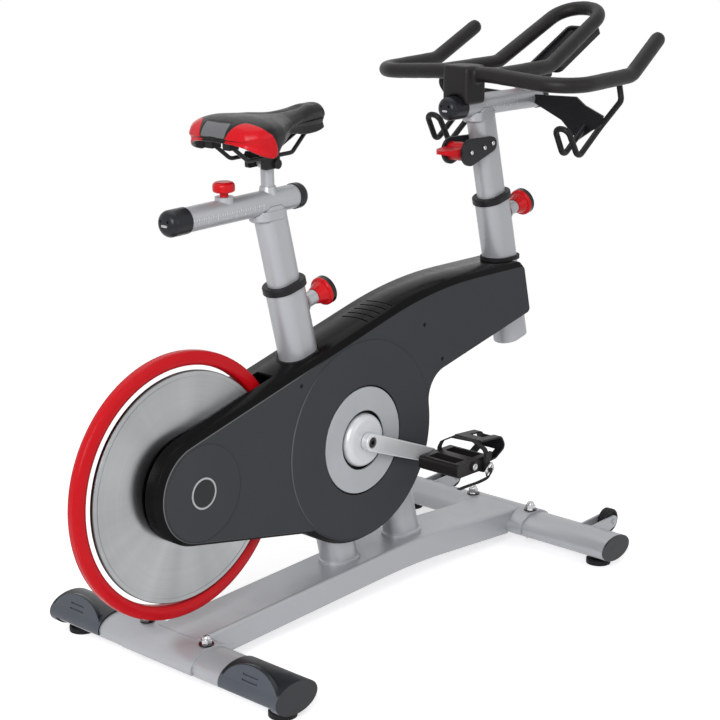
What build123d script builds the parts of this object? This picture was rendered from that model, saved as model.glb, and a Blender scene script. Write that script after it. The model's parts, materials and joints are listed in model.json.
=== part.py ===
"""Indoor spin bike, built as an assembly of separate pieces.

Millimetres and degrees.  +X is forward, +Y is the rider's left and +Z is up.
The origin is on the floor, under the middle of the machine.
"""
from build123d import *
import os
from math import asin, atan2, cos, degrees, hypot, pi, radians, sin, tan

# ---------------------------------------------------------------- overall layout
length = 1306.0              # rear of the flywheel guard to the front of the handlebar loop
stabiliser_length = 545.0    # across the two floor tubes, end covers included
stabiliser_spacing = 857.0   # rear floor tube to front floor tube
axle_height = 314.0          # flywheel axle and crank axis above the floor
axle_to_crank = 374.0
rear_tube_setback = 15.0     # rear floor tube behind the flywheel axle
slip = 0.05                  # running clearance of a shaft or sliding tube, each side
gap = 0.3                    # clearance between curved faces of different bodies
weld_height = 7.0            # height of the weld flare at the foot of a tube
weld_width = 3.5

# ---------------------------------------------------------------- flywheel and guard
guard_radius = 220.0
guard_depth = 23.5           # radial depth of the guard's section
guard_width = 16.0
guard_round = 5.0
guard_start = 33.0           # the guard's two ends, inside the shroud
guard_end = 327.0
flywheel_radius = 190.0
flywheel_thickness = 8.0
flywheel_offset = 11.5       # the disc stands this far to the rider's right
flywheel_hub_radius = 30.0
flywheel_hub_width = 17.0
axle_radius = 10.0
axle_spacer_radius = 14.0

# ---------------------------------------------------------------- drive
crank_length = 170.0
crank_angle = -21.0          # right crank at rest, above the forward horizontal
crank_outer_faces = 160.0    # distance between the outer faces of the two crank arms
crank_arm_thickness = 13.0
crank_hub_width = 32.0
crank_end_width = 27.0
crank_bolt_radius = 7.5
crank_bolt_height = 6.0
spindle_radius = 10.0
pulley_radius = 144.0
small_pulley_radius = 18.0
pulley_width = 16.0
pulley_offset = 41.0         # belt line to the rider's right of the middle
pulley_web = 6.0
belt_thickness = 4.0
bearing_radius = 19.0
bearing_width = 12.0
bracket_shell_radius = 24.0
bracket_shell_width = 58.0

# ---------------------------------------------------------------- pedals
pedal_length = 92.0          # along the bike
pedal_width = 88.0           # across the bike
pedal_height = 24.0
pedal_gap = 7.0              # crank arm to pedal body
pedal_spindle_radius = 6.0
cage_reach = 62.0            # toe cage in front of the pedal body
cage_height = 42.0
cage_strap_width = 15.0
cage_wall = 3.0
toe_strap_width = 12.0
toe_strap_thickness = 2.4
toe_strap_rise = 50.0
toe_strap_ease = 6.5         # strap beside the pedal, each side
toe_strap_x = 24.0           # strap's middle ahead of the pedal spindle
toe_strap_skew = 8.0         # the strap's inner side stands further back

# ---------------------------------------------------------------- base
floor_tube_width = 86.0
floor_tube_height = 48.0
floor_tube_wall = 3.0
floor_tube_clearance = 14.0  # underside of the floor tubes above the floor
foot_inset_rear = 30.5       # foot from the floor tube's end
foot_inset_front = 39.5
foot_radius = 23.0
foot_height = 10.0
foot_stem_radius = 6.0
foot_stem_reach = 22.0
foot_nut_radius = 11.0
beam_width = 98.0
beam_height = 48.0
beam_wall = 3.0
beam_corner = 5.0
beam_crown = 22.0            # rise of the beam's middle above its ends
beam_crown_x = 96.0          # the crown's place ahead of the origin
beam_crown_radius = 1500.0
saddle_plate = 4.0           # plate that wraps each floor tube under the beam
saddle_plate_length = 166.0
bolt_spacing = 142.0
bolt_radius = 5.0
bolt_clearance = 0.5
nut_radius = 9.5
nut_height = 8.0
nut_dome = 7.0
washer_radius = 12.5
washer_height = 2.0
cover_length = 128.0
cover_wall = 3.0
cover_plug = 14.0
wing_height = 46.0
wing_thickness = 9.0
wing_lean = 17.0
wheel_radius = 23.0
wheel_width = 17.0
wheel_reach = 83.0           # transport wheel axle ahead of the front floor tube
wheel_height = 53.0
wheel_inset = 77.5           # wheel from the floor tube's end
wheel_pin_radius = 5.0
wheel_plate = 4.0
wheel_plate_gap = 1.5

# ---------------------------------------------------------------- tubes of the frame
tube_length = 72.0           # flat-oval section of the seat tube, head tube and strut
tube_width = 52.0
tube_wall = 3.0
post_length = 60.0           # flat-oval section of the two sliding posts
post_width = 40.0
post_wall = 3.0
seat_setback = 59.0          # seat tube axis behind the crank, at axle height
seat_lean = 14.2
seat_tube_top = 291.0        # along the seat tube from axle height
seat_post_bottom = 112.0
head_reach = 504.0           # head tube axis ahead of the crank, at axle height
head_lean = 13.4
head_tube_bottom = 88.0
head_tube_top = 369.0
bar_post_bottom = 172.0
collar_height = 12.0
collar_wall = 4.0
sleeve_depth = 90.0
strut_reach = 161.0          # front strut ahead of the crank, at the beam
strut_height = 110.0
strut_lean = 14.0
strut_top = 455.0
spine_height = 50.0
spine_width = 40.0
spine_rear_height = 440.0
spine_front_height = 503.0
stay_thickness = 5.0
stay_axle_radius = 28.0
stay_frame_radius = 44.0
housing_radius = 25.0
housing_width = 10.0

# ---------------------------------------------------------------- sliders
slider_radius = 20.0
slider_wall = 3.0
seat_slider_height = 745.0
seat_slider_rise = 1.8       # the saddle slider climbs towards the front
seat_slider_back = 209.0     # from the post axis to the tube's rear end
seat_slider_front = 66.0
bar_slider_height = 853.0
bar_slider_back = 84.0
bar_slider_front = 178.0
cap_wall = 1.5
cap_dome = 14.0
seat_cap_skirt_rear = 28.0
seat_cap_skirt_front = 8.0
bar_cap_skirt_rear = 30.0
cradle_length = 70.0
cradle_width = 42.0
cradle_depth = 18.0
rail_length = 78.0
web_width = 13.0
web_length = 56.0
slot_clearance = 1.0
seat_slide_forward = 130.0   # travel of the saddle slider from rest
seat_slide_back = 6.0
bar_slide_forward = 4.0      # travel of the handlebar slider from rest
bar_slide_back = 105.0
pillar_radius = 11.0
pillar_offset = -2.0         # pillar behind the seat post's axis, so just ahead of it
pillar_top = 800.0
barrel_radius = 10.0
barrel_width = 28.0
barrel_height = 809.0
saddle_bolt_radius = 4.0

# ---------------------------------------------------------------- knobs
knob_radius = 25.0
knob_length = 31.0
knob_boss_radius = 12.5
knob_boss_length = 24.0
knob_pin_radius = 6.0
seat_knob_along = 249.0      # along the seat tube from axle height
head_knob_along = 332.0
button_radius = 18.0
button_height = 16.5
button_neck_radius = 7.0
button_neck = 7.0
button_boss_radius = 15.0
button_boss = 4.0
seat_button_back = 95.0     # behind the seat post's axis
bar_button_front = 130.0     # ahead of the handlebar post's axis
scale_hole_radius = 6.5
scale_hole_pitch = 20.0

# ---------------------------------------------------------------- saddle
saddle_length = 252.0
saddle_width = 176.0
saddle_nose_width = 40.0
saddle_nose = 133.0          # nose tip ahead of the pillar
saddle_top = 886.0
saddle_side_drop = 52.0      # the side skirts hang this far below the top
saddle_waist_drop = 30.5     # and the edge between the skirts and the nose this far
saddle_nose_drop = 38.0
saddle_rear_drop = 26.0
shell_inset = 9.0
shell_thickness = 6.0
shell_height = 866.0
rail_radius = 3.5
rail_spacing = 40.0
rail_height = 822.0
rail_end_height = 852.0
rail_nose_spacing = 16.0
clamp_length = 36.0
clamp_setback = 10.0         # clamp's middle behind the barrel
clamp_height = 27.0
clamp_thickness = 8.0

# ---------------------------------------------------------------- handlebar
bar_radius = 14.5
bar_height = 913.0
bar_back = 42.0              # crossbar behind the handlebar post's axis at the slider
bar_droop = 11.0
bar_half_width = 226.0
bar_bend = 62.0
horn_x = 191.0               # from the crossbar forward to the horn's kink
horn_rise = 8.0
horn_length_x = 112.0
horn_length_z = 62.0
horn_toe_in = 14.0
horn_bend = 42.0
loop_radius = 14.0
loop_half_width = 62.0
loop_top_half_width = 49.0
loop_kink_x = 171.0
loop_kink_bend = 40.0
loop_top_height = 1008.0
loop_corner = 47.0
block_length = 56.0
block_width = 58.0
block_round = 4.0
tray_length = 148.0
tray_width = 76.0
tray_thickness = 10.0
tray_start = 237.0           # tray's rear edge ahead of the crossbar
tray_height = 897.0
tray_slope = 27.5
tray_neck_length = 34.0
tray_neck_width = 30.0
holder_rod_radius = 5.5
holder_plate = 5.0
holder_reach = 145.0         # arm ahead of the handlebar post's axis
holder_back = 66.0           # hook behind the arm
holder_drop = 90.0           # hook's bottom below the slider's axis
holder_knee_drop = 41.0
holder_spread = 150.0
holder_pitch = 33.0

# ---------------------------------------------------------------- resistance lever and brake
bracket_plate = 6.0
lever_pivot_back = 71.0      # pivot behind the handlebar post's axis
lever_pivot_height = 773.0
lever_hub_radius = 17.0
lever_cheek_radius = 24.5
lever_reach = 62.0
lever_tip_thickness = 7.0
lever_pin_radius = 4.0
rivet_radius = 3.5
rivet_height = 1.5
caliper_pivot_x = 214.0      # ahead of the flywheel axle
caliper_pivot_z = 52.0       # above the flywheel axle
caliper_pin_radius = 4.0
caliper_plate = 3.0
caliper_gap = 4.5            # plate to flywheel face
magnet_radius = 10.0
magnet_height = 2.5
magnet_reach = 52.0
magnet_pitch = 24.0
cable_radius = 2.5

# ---------------------------------------------------------------- shroud
shroud_half_width = 56.0
shroud_wall = 4.0
shroud_edge = 8.0            # how far the rim stands out beyond the side face
shroud_edge_depth = 12.0
shroud_rear_radius = 81.0
shroud_crank_radius = 178.0
shroud_under_slope = 11.0
shroud_top_height = 549.0
shroud_top_radius = 900.0
shroud_nose_x = 472.0        # nose ahead of the crank, at the underside
shroud_nose_height = 462.0
shroud_belly_x = 216.0
shroud_belly_height = 400.0
shroud_nose_round = 16.0
shroud_throat = 45.0
shroud_seam = 0.2
shroud_slot_x = 196.0        # open behind this distance ahead of the flywheel axle
shroud_slot_half_width = 19.0
boss_thickness = 1.5
ring_outer_radius = 94.0
ring_inner_radius = 52.5
ring_thickness = 3.0
ring_recess_gap = 3.0
hub_cover_radius = 47.0
hub_cover_height = 14.0
badge_radius = 26.0
badge_thickness = 2.0
screw_radius = 4.0
vent_width = 3.2
vent_pitch = 15.8
vent_count = 5
vent_start = 36.0            # first vent's middle ahead of the crank
vent_bow = 3.8               # a vent's middle stands this far ahead of its ends
vent_right = -37.0           # a vent's ends, across the covers' top
vent_left = 21.0
vent_floor = 454.0           # the slots are cut down to here, below the covers' top wall
gasket_wall = 5.0
gasket_height = 7.0

# ---------------------------------------------------------------- places worked out from the sizes
axle_x = guard_radius - length / 2
crank_x = axle_x + axle_to_crank
rear_tube_x = axle_x - rear_tube_setback
front_tube_x = rear_tube_x + stabiliser_spacing
floor_tube_z = floor_tube_clearance + floor_tube_height / 2
foot_spacing_rear = stabiliser_length - 2 * foot_inset_rear
foot_spacing_front = stabiliser_length - 2 * foot_inset_front
wheel_track = stabiliser_length - 2 * wheel_inset
beam_end_top = floor_tube_clearance + floor_tube_height + saddle_plate
beam_crown_top = beam_end_top + beam_crown
seat_axis_x = crank_x - seat_setback
head_axis_x = crank_x + head_reach
strut_x = crank_x + strut_reach
far = 2000.0                 # longer than the machine, for cutting tools


def along(axis_x, lean, s, d=0.0, y=0.0):
    """Point s along a leaning tube from axle height, and d in front of its axis."""
    a = radians(lean)
    return (axis_x - s * sin(a) + d * cos(a), y, axle_height + s * cos(a) + d * sin(a))


def tube_plane(axis_x, lean, s):
    """Plane square to a leaning tube, with x forward along the tube's long side."""
    a = radians(lean)
    return Plane(
        origin=along(axis_x, lean, s),
        x_dir=(cos(a), 0, sin(a)),
        z_dir=(-sin(a), 0, cos(a)),
    )


def knob_plane(axis_x, lean, s, d):
    """Plane that faces forward, square to the front of a leaning tube."""
    a = radians(lean)
    return Plane(
        origin=along(axis_x, lean, s, d),
        x_dir=(0, 1, 0),
        z_dir=(cos(a), 0, sin(a)),
    )


def axis_point_at(axis_x, lean, z):
    """X of a leaning tube's axis at height z."""
    return axis_x - (z - axle_height) * tan(radians(lean))


def oval_bar(axis_x, lean, bottom, top, long_side, short_side):
    """Solid flat-oval bar along a leaning axis."""
    face = tube_plane(axis_x, lean, bottom) * SlotOverall(long_side, short_side)
    return extrude(face, amount=top - bottom)


def rod_y(x, z, radius, y0, y1):
    """Round rod across the bike."""
    face = Plane(origin=(x, y0, z), x_dir=(1, 0, 0), z_dir=(0, 1, 0)) * Circle(radius)
    return extrude(face, amount=y1 - y0)


def rod_x(y, z, radius, x0, x1):
    """Round rod along the bike."""
    face = Plane(origin=(x0, y, z), x_dir=(0, 1, 0), z_dir=(1, 0, 0)) * Circle(radius)
    return extrude(face, amount=x1 - x0)


def rod_z(x, y, radius, z0, z1):
    """Upright round rod."""
    return Pos(x, y, z0) * extrude(Circle(radius), amount=z1 - z0)


def block(x0, x1, y0, y1, z0, z1):
    """Box between two corners."""
    return Pos((x0 + x1) / 2, (y0 + y1) / 2, (z0 + z1) / 2) * Box(x1 - x0, y1 - y0, z1 - z0)


def side_plane(y):
    """Drawing plane at y, with x forward and y up, whose extrusions go to the rider's right."""
    return Plane(origin=(0, y, 0), x_dir=(1, 0, 0), z_dir=(0, -1, 0))


def side_plate(face, y_left, y_right):
    """Extrude a side-view drawing from y_left to the right as far as y_right."""
    return extrude(side_plane(y_left) * face, amount=y_left - y_right)


def round_hull(x0, z0, r0, x1, z1, r1):
    """Side-view face of two circles joined by their outer tangents."""
    run = hypot(x1 - x0, z1 - z0)
    heading = atan2(z1 - z0, x1 - x0)
    spread = asin((r1 - r0) / run)
    corners = []
    for side in (1, -1):
        a = heading + side * (pi / 2 + spread)
        corners.append((x0 + r0 * cos(a), z0 + r0 * sin(a)))
        corners.append((x1 + r1 * cos(a), z1 + r1 * sin(a)))
    quad = make_face(Polyline(corners[0], corners[1], corners[3], corners[2], close=True))
    return quad + Pos(x0, z0) * Circle(r0) + Pos(x1, z1) * Circle(r1)


def bent_rod(points, radii, radius):
    """Round rod along straight runs joined by arcs, with rounded ends."""
    path = FilletPolyline(*points, radius=radii)
    start = Vector(*points[0])
    heading = (Vector(*points[1]) - start).normalized()
    rod = sweep(Plane(origin=start, z_dir=heading) * Circle(radius), path=path)
    return rod


def mirrored(part):
    """The same piece on the rider's other side."""
    return mirror(part, about=Plane.XZ)


# ---------------------------------------------------------------- base
def beam_outline(inset=0.0):
    """Side view of the arched beam, from one floor tube's middle to the other's."""
    top = [
        (rear_tube_x, beam_end_top - inset),
        (beam_crown_x, beam_crown_top - inset),
        (front_tube_x, beam_end_top - inset),
    ]
    drop = beam_height - 2 * inset
    bottom = [(x, z - drop) for x, z in reversed(top)]
    face = make_face(Polyline(*top, *bottom, close=True))
    bends = face.vertices().filter_by(lambda v: abs(v.X - beam_crown_x) < 1)
    return fillet(bends, beam_crown_radius)


def beam_solid():
    """Outside of the beam as a full solid."""
    half = beam_width / 2
    solid = side_plate(beam_outline(), half, -half)
    long_edges = solid.edges().filter_by(lambda e: abs(e.center().Y) > half - 0.1 and e.length > 50)
    return fillet(long_edges, beam_corner)


def floor_tube(x, grow=0.0, half=stabiliser_length / 2):
    """Solid oval bar across the bike, grown outwards by a plate's thickness."""
    section = Ellipse(floor_tube_width / 2 + grow, floor_tube_height / 2 + grow)
    face = Plane(origin=(x, half, floor_tube_z), x_dir=(1, 0, 0), z_dir=(0, -1, 0)) * section
    return extrude(face, amount=2 * half)


def make_base_beam():
    half = beam_width / 2 - beam_wall
    beam = beam_solid() - side_plate(beam_outline(beam_wall), half, -half)
    for x in (rear_tube_x, front_tube_x):
        beam -= floor_tube(x, saddle_plate)
    keep = block(rear_tube_x, front_tube_x, -far, far, 0, far)
    return (beam & keep).solids().sort_by(SortBy.VOLUME)[-1]


def make_stabiliser_brackets():
    """Plate wrapped over each floor tube, under the beam's ends."""
    parts = Part()
    half = saddle_plate_length / 2
    lower = block(-far, far, -far, far, 0, floor_tube_z - floor_tube_height / 6)
    for x in (rear_tube_x, front_tube_x):
        plate = floor_tube(x, saddle_plate, half) - floor_tube(x) - lower
        for y in (-bolt_spacing / 2, bolt_spacing / 2):
            plate -= rod_z(x, y, bolt_radius + bolt_clearance, 0, far)
        parts += plate
    return parts


def bored_floor_tube(x, foot_spacing, tube_half):
    tube = floor_tube(x, 0.0, tube_half) - floor_tube(x, -floor_tube_wall, tube_half)
    for side in (-1, 1):
        tube -= rod_z(x, side * bolt_spacing / 2, bolt_radius + bolt_clearance, 0, far)
        hole = foot_stem_radius + slip
        tube -= rod_z(x, side * foot_spacing / 2, hole, 0, floor_tube_z)
    return tube


def make_rear_stabiliser():
    return bored_floor_tube(rear_tube_x, foot_spacing_rear, stabiliser_length / 2 - cover_wall)


def wheel_centre_y(side):
    return side * wheel_track / 2


def make_front_stabiliser():
    """Front floor tube with the two welded wheel forks."""
    part = bored_floor_tube(front_tube_x, foot_spacing_front, stabiliser_length / 2 - cover_wall)
    wheel_x = front_tube_x + wheel_reach
    inner = wheel_width / 2 + wheel_plate_gap
    boss = 1.5 * wheel_pin_radius + 4
    cheek = round_hull(front_tube_x + 14, floor_tube_z + 4, 20, wheel_x, wheel_height, boss)
    for side in (-1, 1):
        y = wheel_centre_y(side)
        for y_left in (y + inner + wheel_plate, y - inner):
            part += side_plate(cheek, y_left, y_left - wheel_plate) - floor_tube(front_tube_x)
        reach = inner + wheel_plate + 3
        part += rod_y(wheel_x, wheel_height, wheel_pin_radius, y - reach, y + reach)
    return part


def make_transport_wheel(side):
    y = wheel_centre_y(side)
    wheel_x = front_tube_x + wheel_reach
    half = wheel_width / 2
    wheel = rod_y(wheel_x, wheel_height, wheel_radius, y - half, y + half)
    wheel = fillet(wheel.edges().filter_by(GeomType.CIRCLE), 2.5)
    for end in (-1, 1):
        y_mid = y + end * half
        recess = rod_y(wheel_x, wheel_height, wheel_radius - 6, y_mid - 2.5, y_mid + 2.5)
        wheel -= recess - rod_y(wheel_x, wheel_height, wheel_pin_radius + 4, -far, far)
    return wheel - rod_y(wheel_x, wheel_height, wheel_pin_radius + slip, -far, far)


def make_acorn_nuts():
    """Four studs through plate and tube, each with a head, a washer and a domed nut."""
    parts = Part()
    plate_top = beam_end_top
    underside = floor_tube_clearance
    for x in (rear_tube_x, front_tube_x):
        for y in (-bolt_spacing / 2, bolt_spacing / 2):
            stud = rod_z(x, y, bolt_radius, underside - 4, plate_top + washer_height + nut_height)
            head = Pos(x, y, underside - 4) * extrude(RegularPolygon(nut_radius, 6), amount=4)
            washer = rod_z(x, y, washer_radius, plate_top, plate_top + washer_height)
            nut_z = plate_top + washer_height
            nut = Pos(x, y, nut_z) * extrude(RegularPolygon(nut_radius, 6), amount=nut_height)
            dome_radius = nut_radius * cos(pi / 6) - 0.5
            dome = rod_z(x, y, dome_radius, nut_z + nut_height, nut_z + nut_height + nut_dome)
            dome = fillet(dome.faces().sort_by(Axis.Z)[-1].edges(), nut_dome - 0.5)
            parts += stud + head + washer + nut + dome
    return parts


def rear_cover():
    """Right-hand rear end cover: plug, top shell and the raised wing at its back."""
    end = stabiliser_length / 2
    inner = end - cover_length
    grown = floor_tube(rear_tube_x, cover_wall, end)
    shell = grown - floor_tube(rear_tube_x, 0.0, end - cover_wall)
    low = floor_tube_z - floor_tube_height / 8
    upper = block(-far, far, -end, -inner, low, far)
    plug = block(-far, far, -end, -end + cover_plug, 0, far)
    cover = shell & (upper + plug)
    cover -= rod_z(rear_tube_x, -foot_spacing_rear / 2, foot_nut_radius + gap, 0, floor_tube_z)
    half = cover_length / 2 - 2
    wing_face = Ellipse(half, wing_height) & Pos(0, wing_height / 2) * Rectangle(2 * half, wing_height)
    wing_x = rear_tube_x - floor_tube_width / 2 - 1
    lean = radians(wing_lean)
    plane = Plane(
        origin=(wing_x, -(inner + end) / 2, floor_tube_z),
        x_dir=(0, -1, 0),
        z_dir=(-cos(lean), 0, sin(lean)),
    )
    wing = extrude(plane * wing_face, amount=-wing_thickness)
    rear_face = wing.faces().sort_by(lambda f: f.center().dot(plane.z_dir))[-1]
    wing = fillet(rear_face.edges().filter_by(GeomType.ELLIPSE), 2.5)
    neck = round_hull(wing_x + 16, floor_tube_z + 12, 11, rear_tube_x + 4, floor_tube_z + 14, 8)
    rib = side_plate(neck, -inner - 12, -end + 14)
    cover += (wing + rib) - floor_tube(rear_tube_x, 0.0, end - cover_wall)
    for slot in (0, 1, 2):
        height = 11 + 9 * slot
        groove = plane * Pos(0, height) * SlotOverall(34, 2.5)
        cover -= extrude(groove, amount=-2.0)
    return cover.solids().sort_by(SortBy.VOLUME)[-1]


def front_cap():
    """Right-hand front end cap, an oval plug with a rounded face."""
    end = stabiliser_length / 2
    cap = floor_tube(front_tube_x, 0.0, end) - block(-far, far, cover_wall - end, far, 0, far)
    face = cap.faces().sort_by(Axis.Y)[0]
    cap = fillet(face.edges(), 1.0)
    plug = floor_tube(front_tube_x, -floor_tube_wall, end)
    plug &= block(-far, far, -end, -end + cover_plug, 0, far)
    plug -= floor_tube(front_tube_x, -2 * floor_tube_wall, end)
    return cap + plug


def make_end_covers():
    parts = Part()
    for cover in (rear_cover(), front_cap()):
        parts += cover
        parts += mirrored(cover)
    return parts


def make_foot(x, y):
    """Levelling foot: rubber pad, lock nut and threaded stem."""
    pad = rod_z(x, y, foot_radius, 0, foot_height)
    pad = chamfer(pad.faces().sort_by(Axis.Z)[-1].edges(), 2.0)
    nut_top = floor_tube_clearance - gap
    nut_height_here = nut_top - foot_height
    nut = Pos(x, y, foot_height) * extrude(RegularPolygon(foot_nut_radius, 6), amount=nut_height_here)
    stem = rod_z(x, y, foot_stem_radius, foot_height, floor_tube_clearance + foot_stem_reach)
    return pad + nut + stem


# ---------------------------------------------------------------- frame
def weld_flare(axis_x, lean, z):
    """Short tapered skirt where a tube stands on the beam."""
    x = axis_point_at(axis_x, lean, z)
    width = tube_width + 2 * weld_width
    long_side = (tube_length + 2 * weld_width) / cos(radians(lean))
    flare = Pos(x, 0, z - 8) * extrude(SlotOverall(long_side, width), amount=weld_height + 8)
    return chamfer(flare.faces().sort_by(Axis.Z)[-1].edges(), weld_width - 0.5)


def outer_tube(axis_x, lean, bottom, top):
    return oval_bar(axis_x, lean, bottom, top, tube_length, tube_width)


def inner_tube(axis_x, lean, bottom, top):
    inner_length = tube_length - 2 * tube_wall
    return oval_bar(axis_x, lean, bottom, top, inner_length, tube_width - 2 * tube_wall)


def along_for_height(lean, z):
    """Distance along a leaning tube at which its axis reaches height z."""
    return (z - axle_height) / cos(radians(lean))


def beam_top_at(x):
    """Height of the beam's top face, ignoring the rounding at the crown."""
    if x < beam_crown_x:
        share = (x - rear_tube_x) / (beam_crown_x - rear_tube_x)
    else:
        share = (front_tube_x - x) / (front_tube_x - beam_crown_x)
    return beam_end_top + share * beam_crown


def knob_boss(axis_x, lean, s):
    start = tube_length / 2 - tube_wall
    boss = extrude(
        knob_plane(axis_x, lean, s, start) * Circle(knob_boss_radius),
        amount=knob_boss_length + tube_wall,
    )
    collar = extrude(
        knob_plane(axis_x, lean, s, start) * Circle(knob_boss_radius + 5),
        amount=tube_wall + 5,
        taper=35,
    )
    return boss + collar


def pin_hole(axis_x, lean, s):
    return extrude(
        knob_plane(axis_x, lean, s, 0) * Circle(knob_pin_radius + slip),
        amount=tube_length / 2 + knob_boss_length + 20,
    )


def make_seat_tube():
    """Seat tube from the beam up to its collar, with the pull-knob boss."""
    foot_x = axis_point_at(seat_axis_x, seat_lean, beam_crown_top)
    foot_z = beam_top_at(foot_x)
    bottom = along_for_height(seat_lean, foot_z - beam_height / 2)
    tube = outer_tube(seat_axis_x, seat_lean, bottom, seat_tube_top)
    tube += weld_flare(seat_axis_x, seat_lean, foot_z)
    tube += knob_boss(seat_axis_x, seat_lean, seat_knob_along)
    tube -= inner_tube(seat_axis_x, seat_lean, bottom, seat_tube_top)
    tube -= pin_hole(seat_axis_x, seat_lean, seat_knob_along)
    tube -= beam_solid()
    return tube.solids().sort_by(SortBy.VOLUME)[-1]


def make_head_tube():
    tube = outer_tube(head_axis_x, head_lean, head_tube_bottom, head_tube_top)
    tube += knob_boss(head_axis_x, head_lean, head_knob_along)
    tube -= inner_tube(head_axis_x, head_lean, head_tube_bottom, head_tube_top)
    tube -= pin_hole(head_axis_x, head_lean, head_knob_along)
    return tube


def spine_solid():
    """Square-cornered tube from the seat tube to the head tube, as a full solid."""
    x0 = axis_point_at(seat_axis_x, seat_lean, spine_rear_height)
    x1 = axis_point_at(head_axis_x, head_lean, spine_front_height)
    run = hypot(x1 - x0, spine_front_height - spine_rear_height)
    slope = degrees(atan2(spine_front_height - spine_rear_height, x1 - x0))
    bar = Box(run, spine_width, spine_height, align=(Align.MIN, Align.CENTER, Align.CENTER))
    return Pos(x0, 0, spine_rear_height) * Rot(0, -slope, 0) * bar


def frame_solids():
    """The tubes that the inner frame is welded to, as full solids."""
    seat = outer_tube(seat_axis_x, seat_lean, -300, seat_tube_top)
    head = outer_tube(head_axis_x, head_lean, head_tube_bottom, head_tube_top)
    return seat + head


def strut_axis():
    """X of the strut's axis at axle height."""
    return strut_x - (axle_height - strut_height) * tan(radians(strut_lean))


def make_front_strut():
    foot_z = beam_top_at(strut_x + 6)
    bottom = along_for_height(strut_lean, foot_z - beam_height / 2)
    top = along_for_height(strut_lean, strut_top + spine_height)
    axis_x = strut_axis()
    strut = outer_tube(axis_x, strut_lean, bottom, top)
    strut += weld_flare(axis_x, strut_lean, foot_z)
    strut -= inner_tube(axis_x, strut_lean, bottom, top)
    strut -= beam_solid()
    strut -= spine_solid()
    return strut.solids().sort_by(SortBy.VOLUME)[-1]


def caliper_point():
    return (axle_x + caliper_pivot_x, axle_height + caliper_pivot_z)


def guard_end_point(angle):
    a = radians(angle)
    radius = guard_radius - guard_depth / 2
    return (axle_x + radius * cos(a), axle_height + radius * sin(a))


def make_inner_frame():
    """Spine, crank bearing shell, rear stays and the lugs for guard and brake."""
    hollow_width = spine_width - 2 * tube_wall
    spine = spine_solid()
    core = spine & block(-far, far, -hollow_width / 2, hollow_width / 2, 0, far)
    core = core & (Pos(0, 0, tube_wall) * spine) & (Pos(0, 0, -tube_wall) * spine)
    frame = spine - core
    half_shell = bracket_shell_width / 2
    shell = rod_y(crank_x, axle_height, bracket_shell_radius, -half_shell, half_shell)
    frame += shell
    outer = tube_width / 2 + stay_thickness
    for side in (-1, 1):
        y_left = max(side * tube_width / 2, side * outer)
        y_right = min(side * tube_width / 2, side * outer)
        root_x = axis_point_at(seat_axis_x, seat_lean, axle_height + 30)
        arm = round_hull(
            axle_x, axle_height, stay_axle_radius, root_x, axle_height + 30, stay_frame_radius
        )
        frame += side_plate(arm, y_left, y_right)
        inside = side * (outer - housing_width)
        housing_left = max(side * outer, inside)
        housing_right = min(side * outer, inside)
        frame += rod_y(axle_x, axle_height, housing_radius, housing_right, housing_left)
    lug = guard_width / 2 + 4
    for angle in (guard_start, guard_end):
        x, z = guard_end_point(angle)
        root_x = axis_point_at(seat_axis_x, seat_lean, z)
        arm = round_hull(x, z, 5, root_x, z, 12)
        frame += side_plate(arm, lug, guard_width / 2)
        frame += side_plate(arm, -guard_width / 2, -lug)
    cx, cz = caliper_point()
    frame += rod_y(cx, cz, caliper_pin_radius, -tube_width / 2, tube_width / 2)
    frame -= frame_solids()
    frame -= rod_y(crank_x, axle_height, bearing_radius, -far, far)
    frame -= rod_y(axle_x, axle_height, bearing_radius, -far, far)
    return frame


def make_bearings():
    parts = Part()
    half_shell = bracket_shell_width / 2
    outer = tube_width / 2 + stay_thickness
    for side in (-1, 1):
        places = (
            (crank_x, spindle_radius, half_shell, bearing_width),
            (axle_x, axle_radius, outer, housing_width),
        )
        for x, shaft, outside, width in places:
            y0 = min(side * outside, side * (outside - width))
            ring = rod_y(x, axle_height, bearing_radius, y0, y0 + width)
            parts += ring - rod_y(x, axle_height, shaft + slip, -far, far)
    return parts


def tube_collar(axis_x, lean, top):
    """Plastic collar on a tube's mouth, with the guide sleeve that goes down inside."""
    plane = tube_plane(axis_x, lean, top)
    rim = SlotOverall(tube_length + 2 * collar_wall, tube_width + 2 * collar_wall)
    ring = extrude(plane * rim, amount=collar_height)
    ring = fillet(ring.edges().filter_by(lambda e: abs(plane.to_local_coords(e.center()).Z) > 1), 2.5)
    sleeve = inner_tube(axis_x, lean, top - sleeve_depth, top + 1)
    bore = oval_bar(
        axis_x, lean, top - far, top + far, post_length + 2 * slip, post_width + 2 * slip
    )
    return ring + sleeve - bore


def make_tube_collars():
    seat = tube_collar(seat_axis_x, seat_lean, seat_tube_top)
    head = tube_collar(head_axis_x, head_lean, head_tube_top)
    seat -= pin_hole(seat_axis_x, seat_lean, seat_knob_along)
    head -= pin_hole(head_axis_x, head_lean, head_knob_along)
    return seat + head


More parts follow.
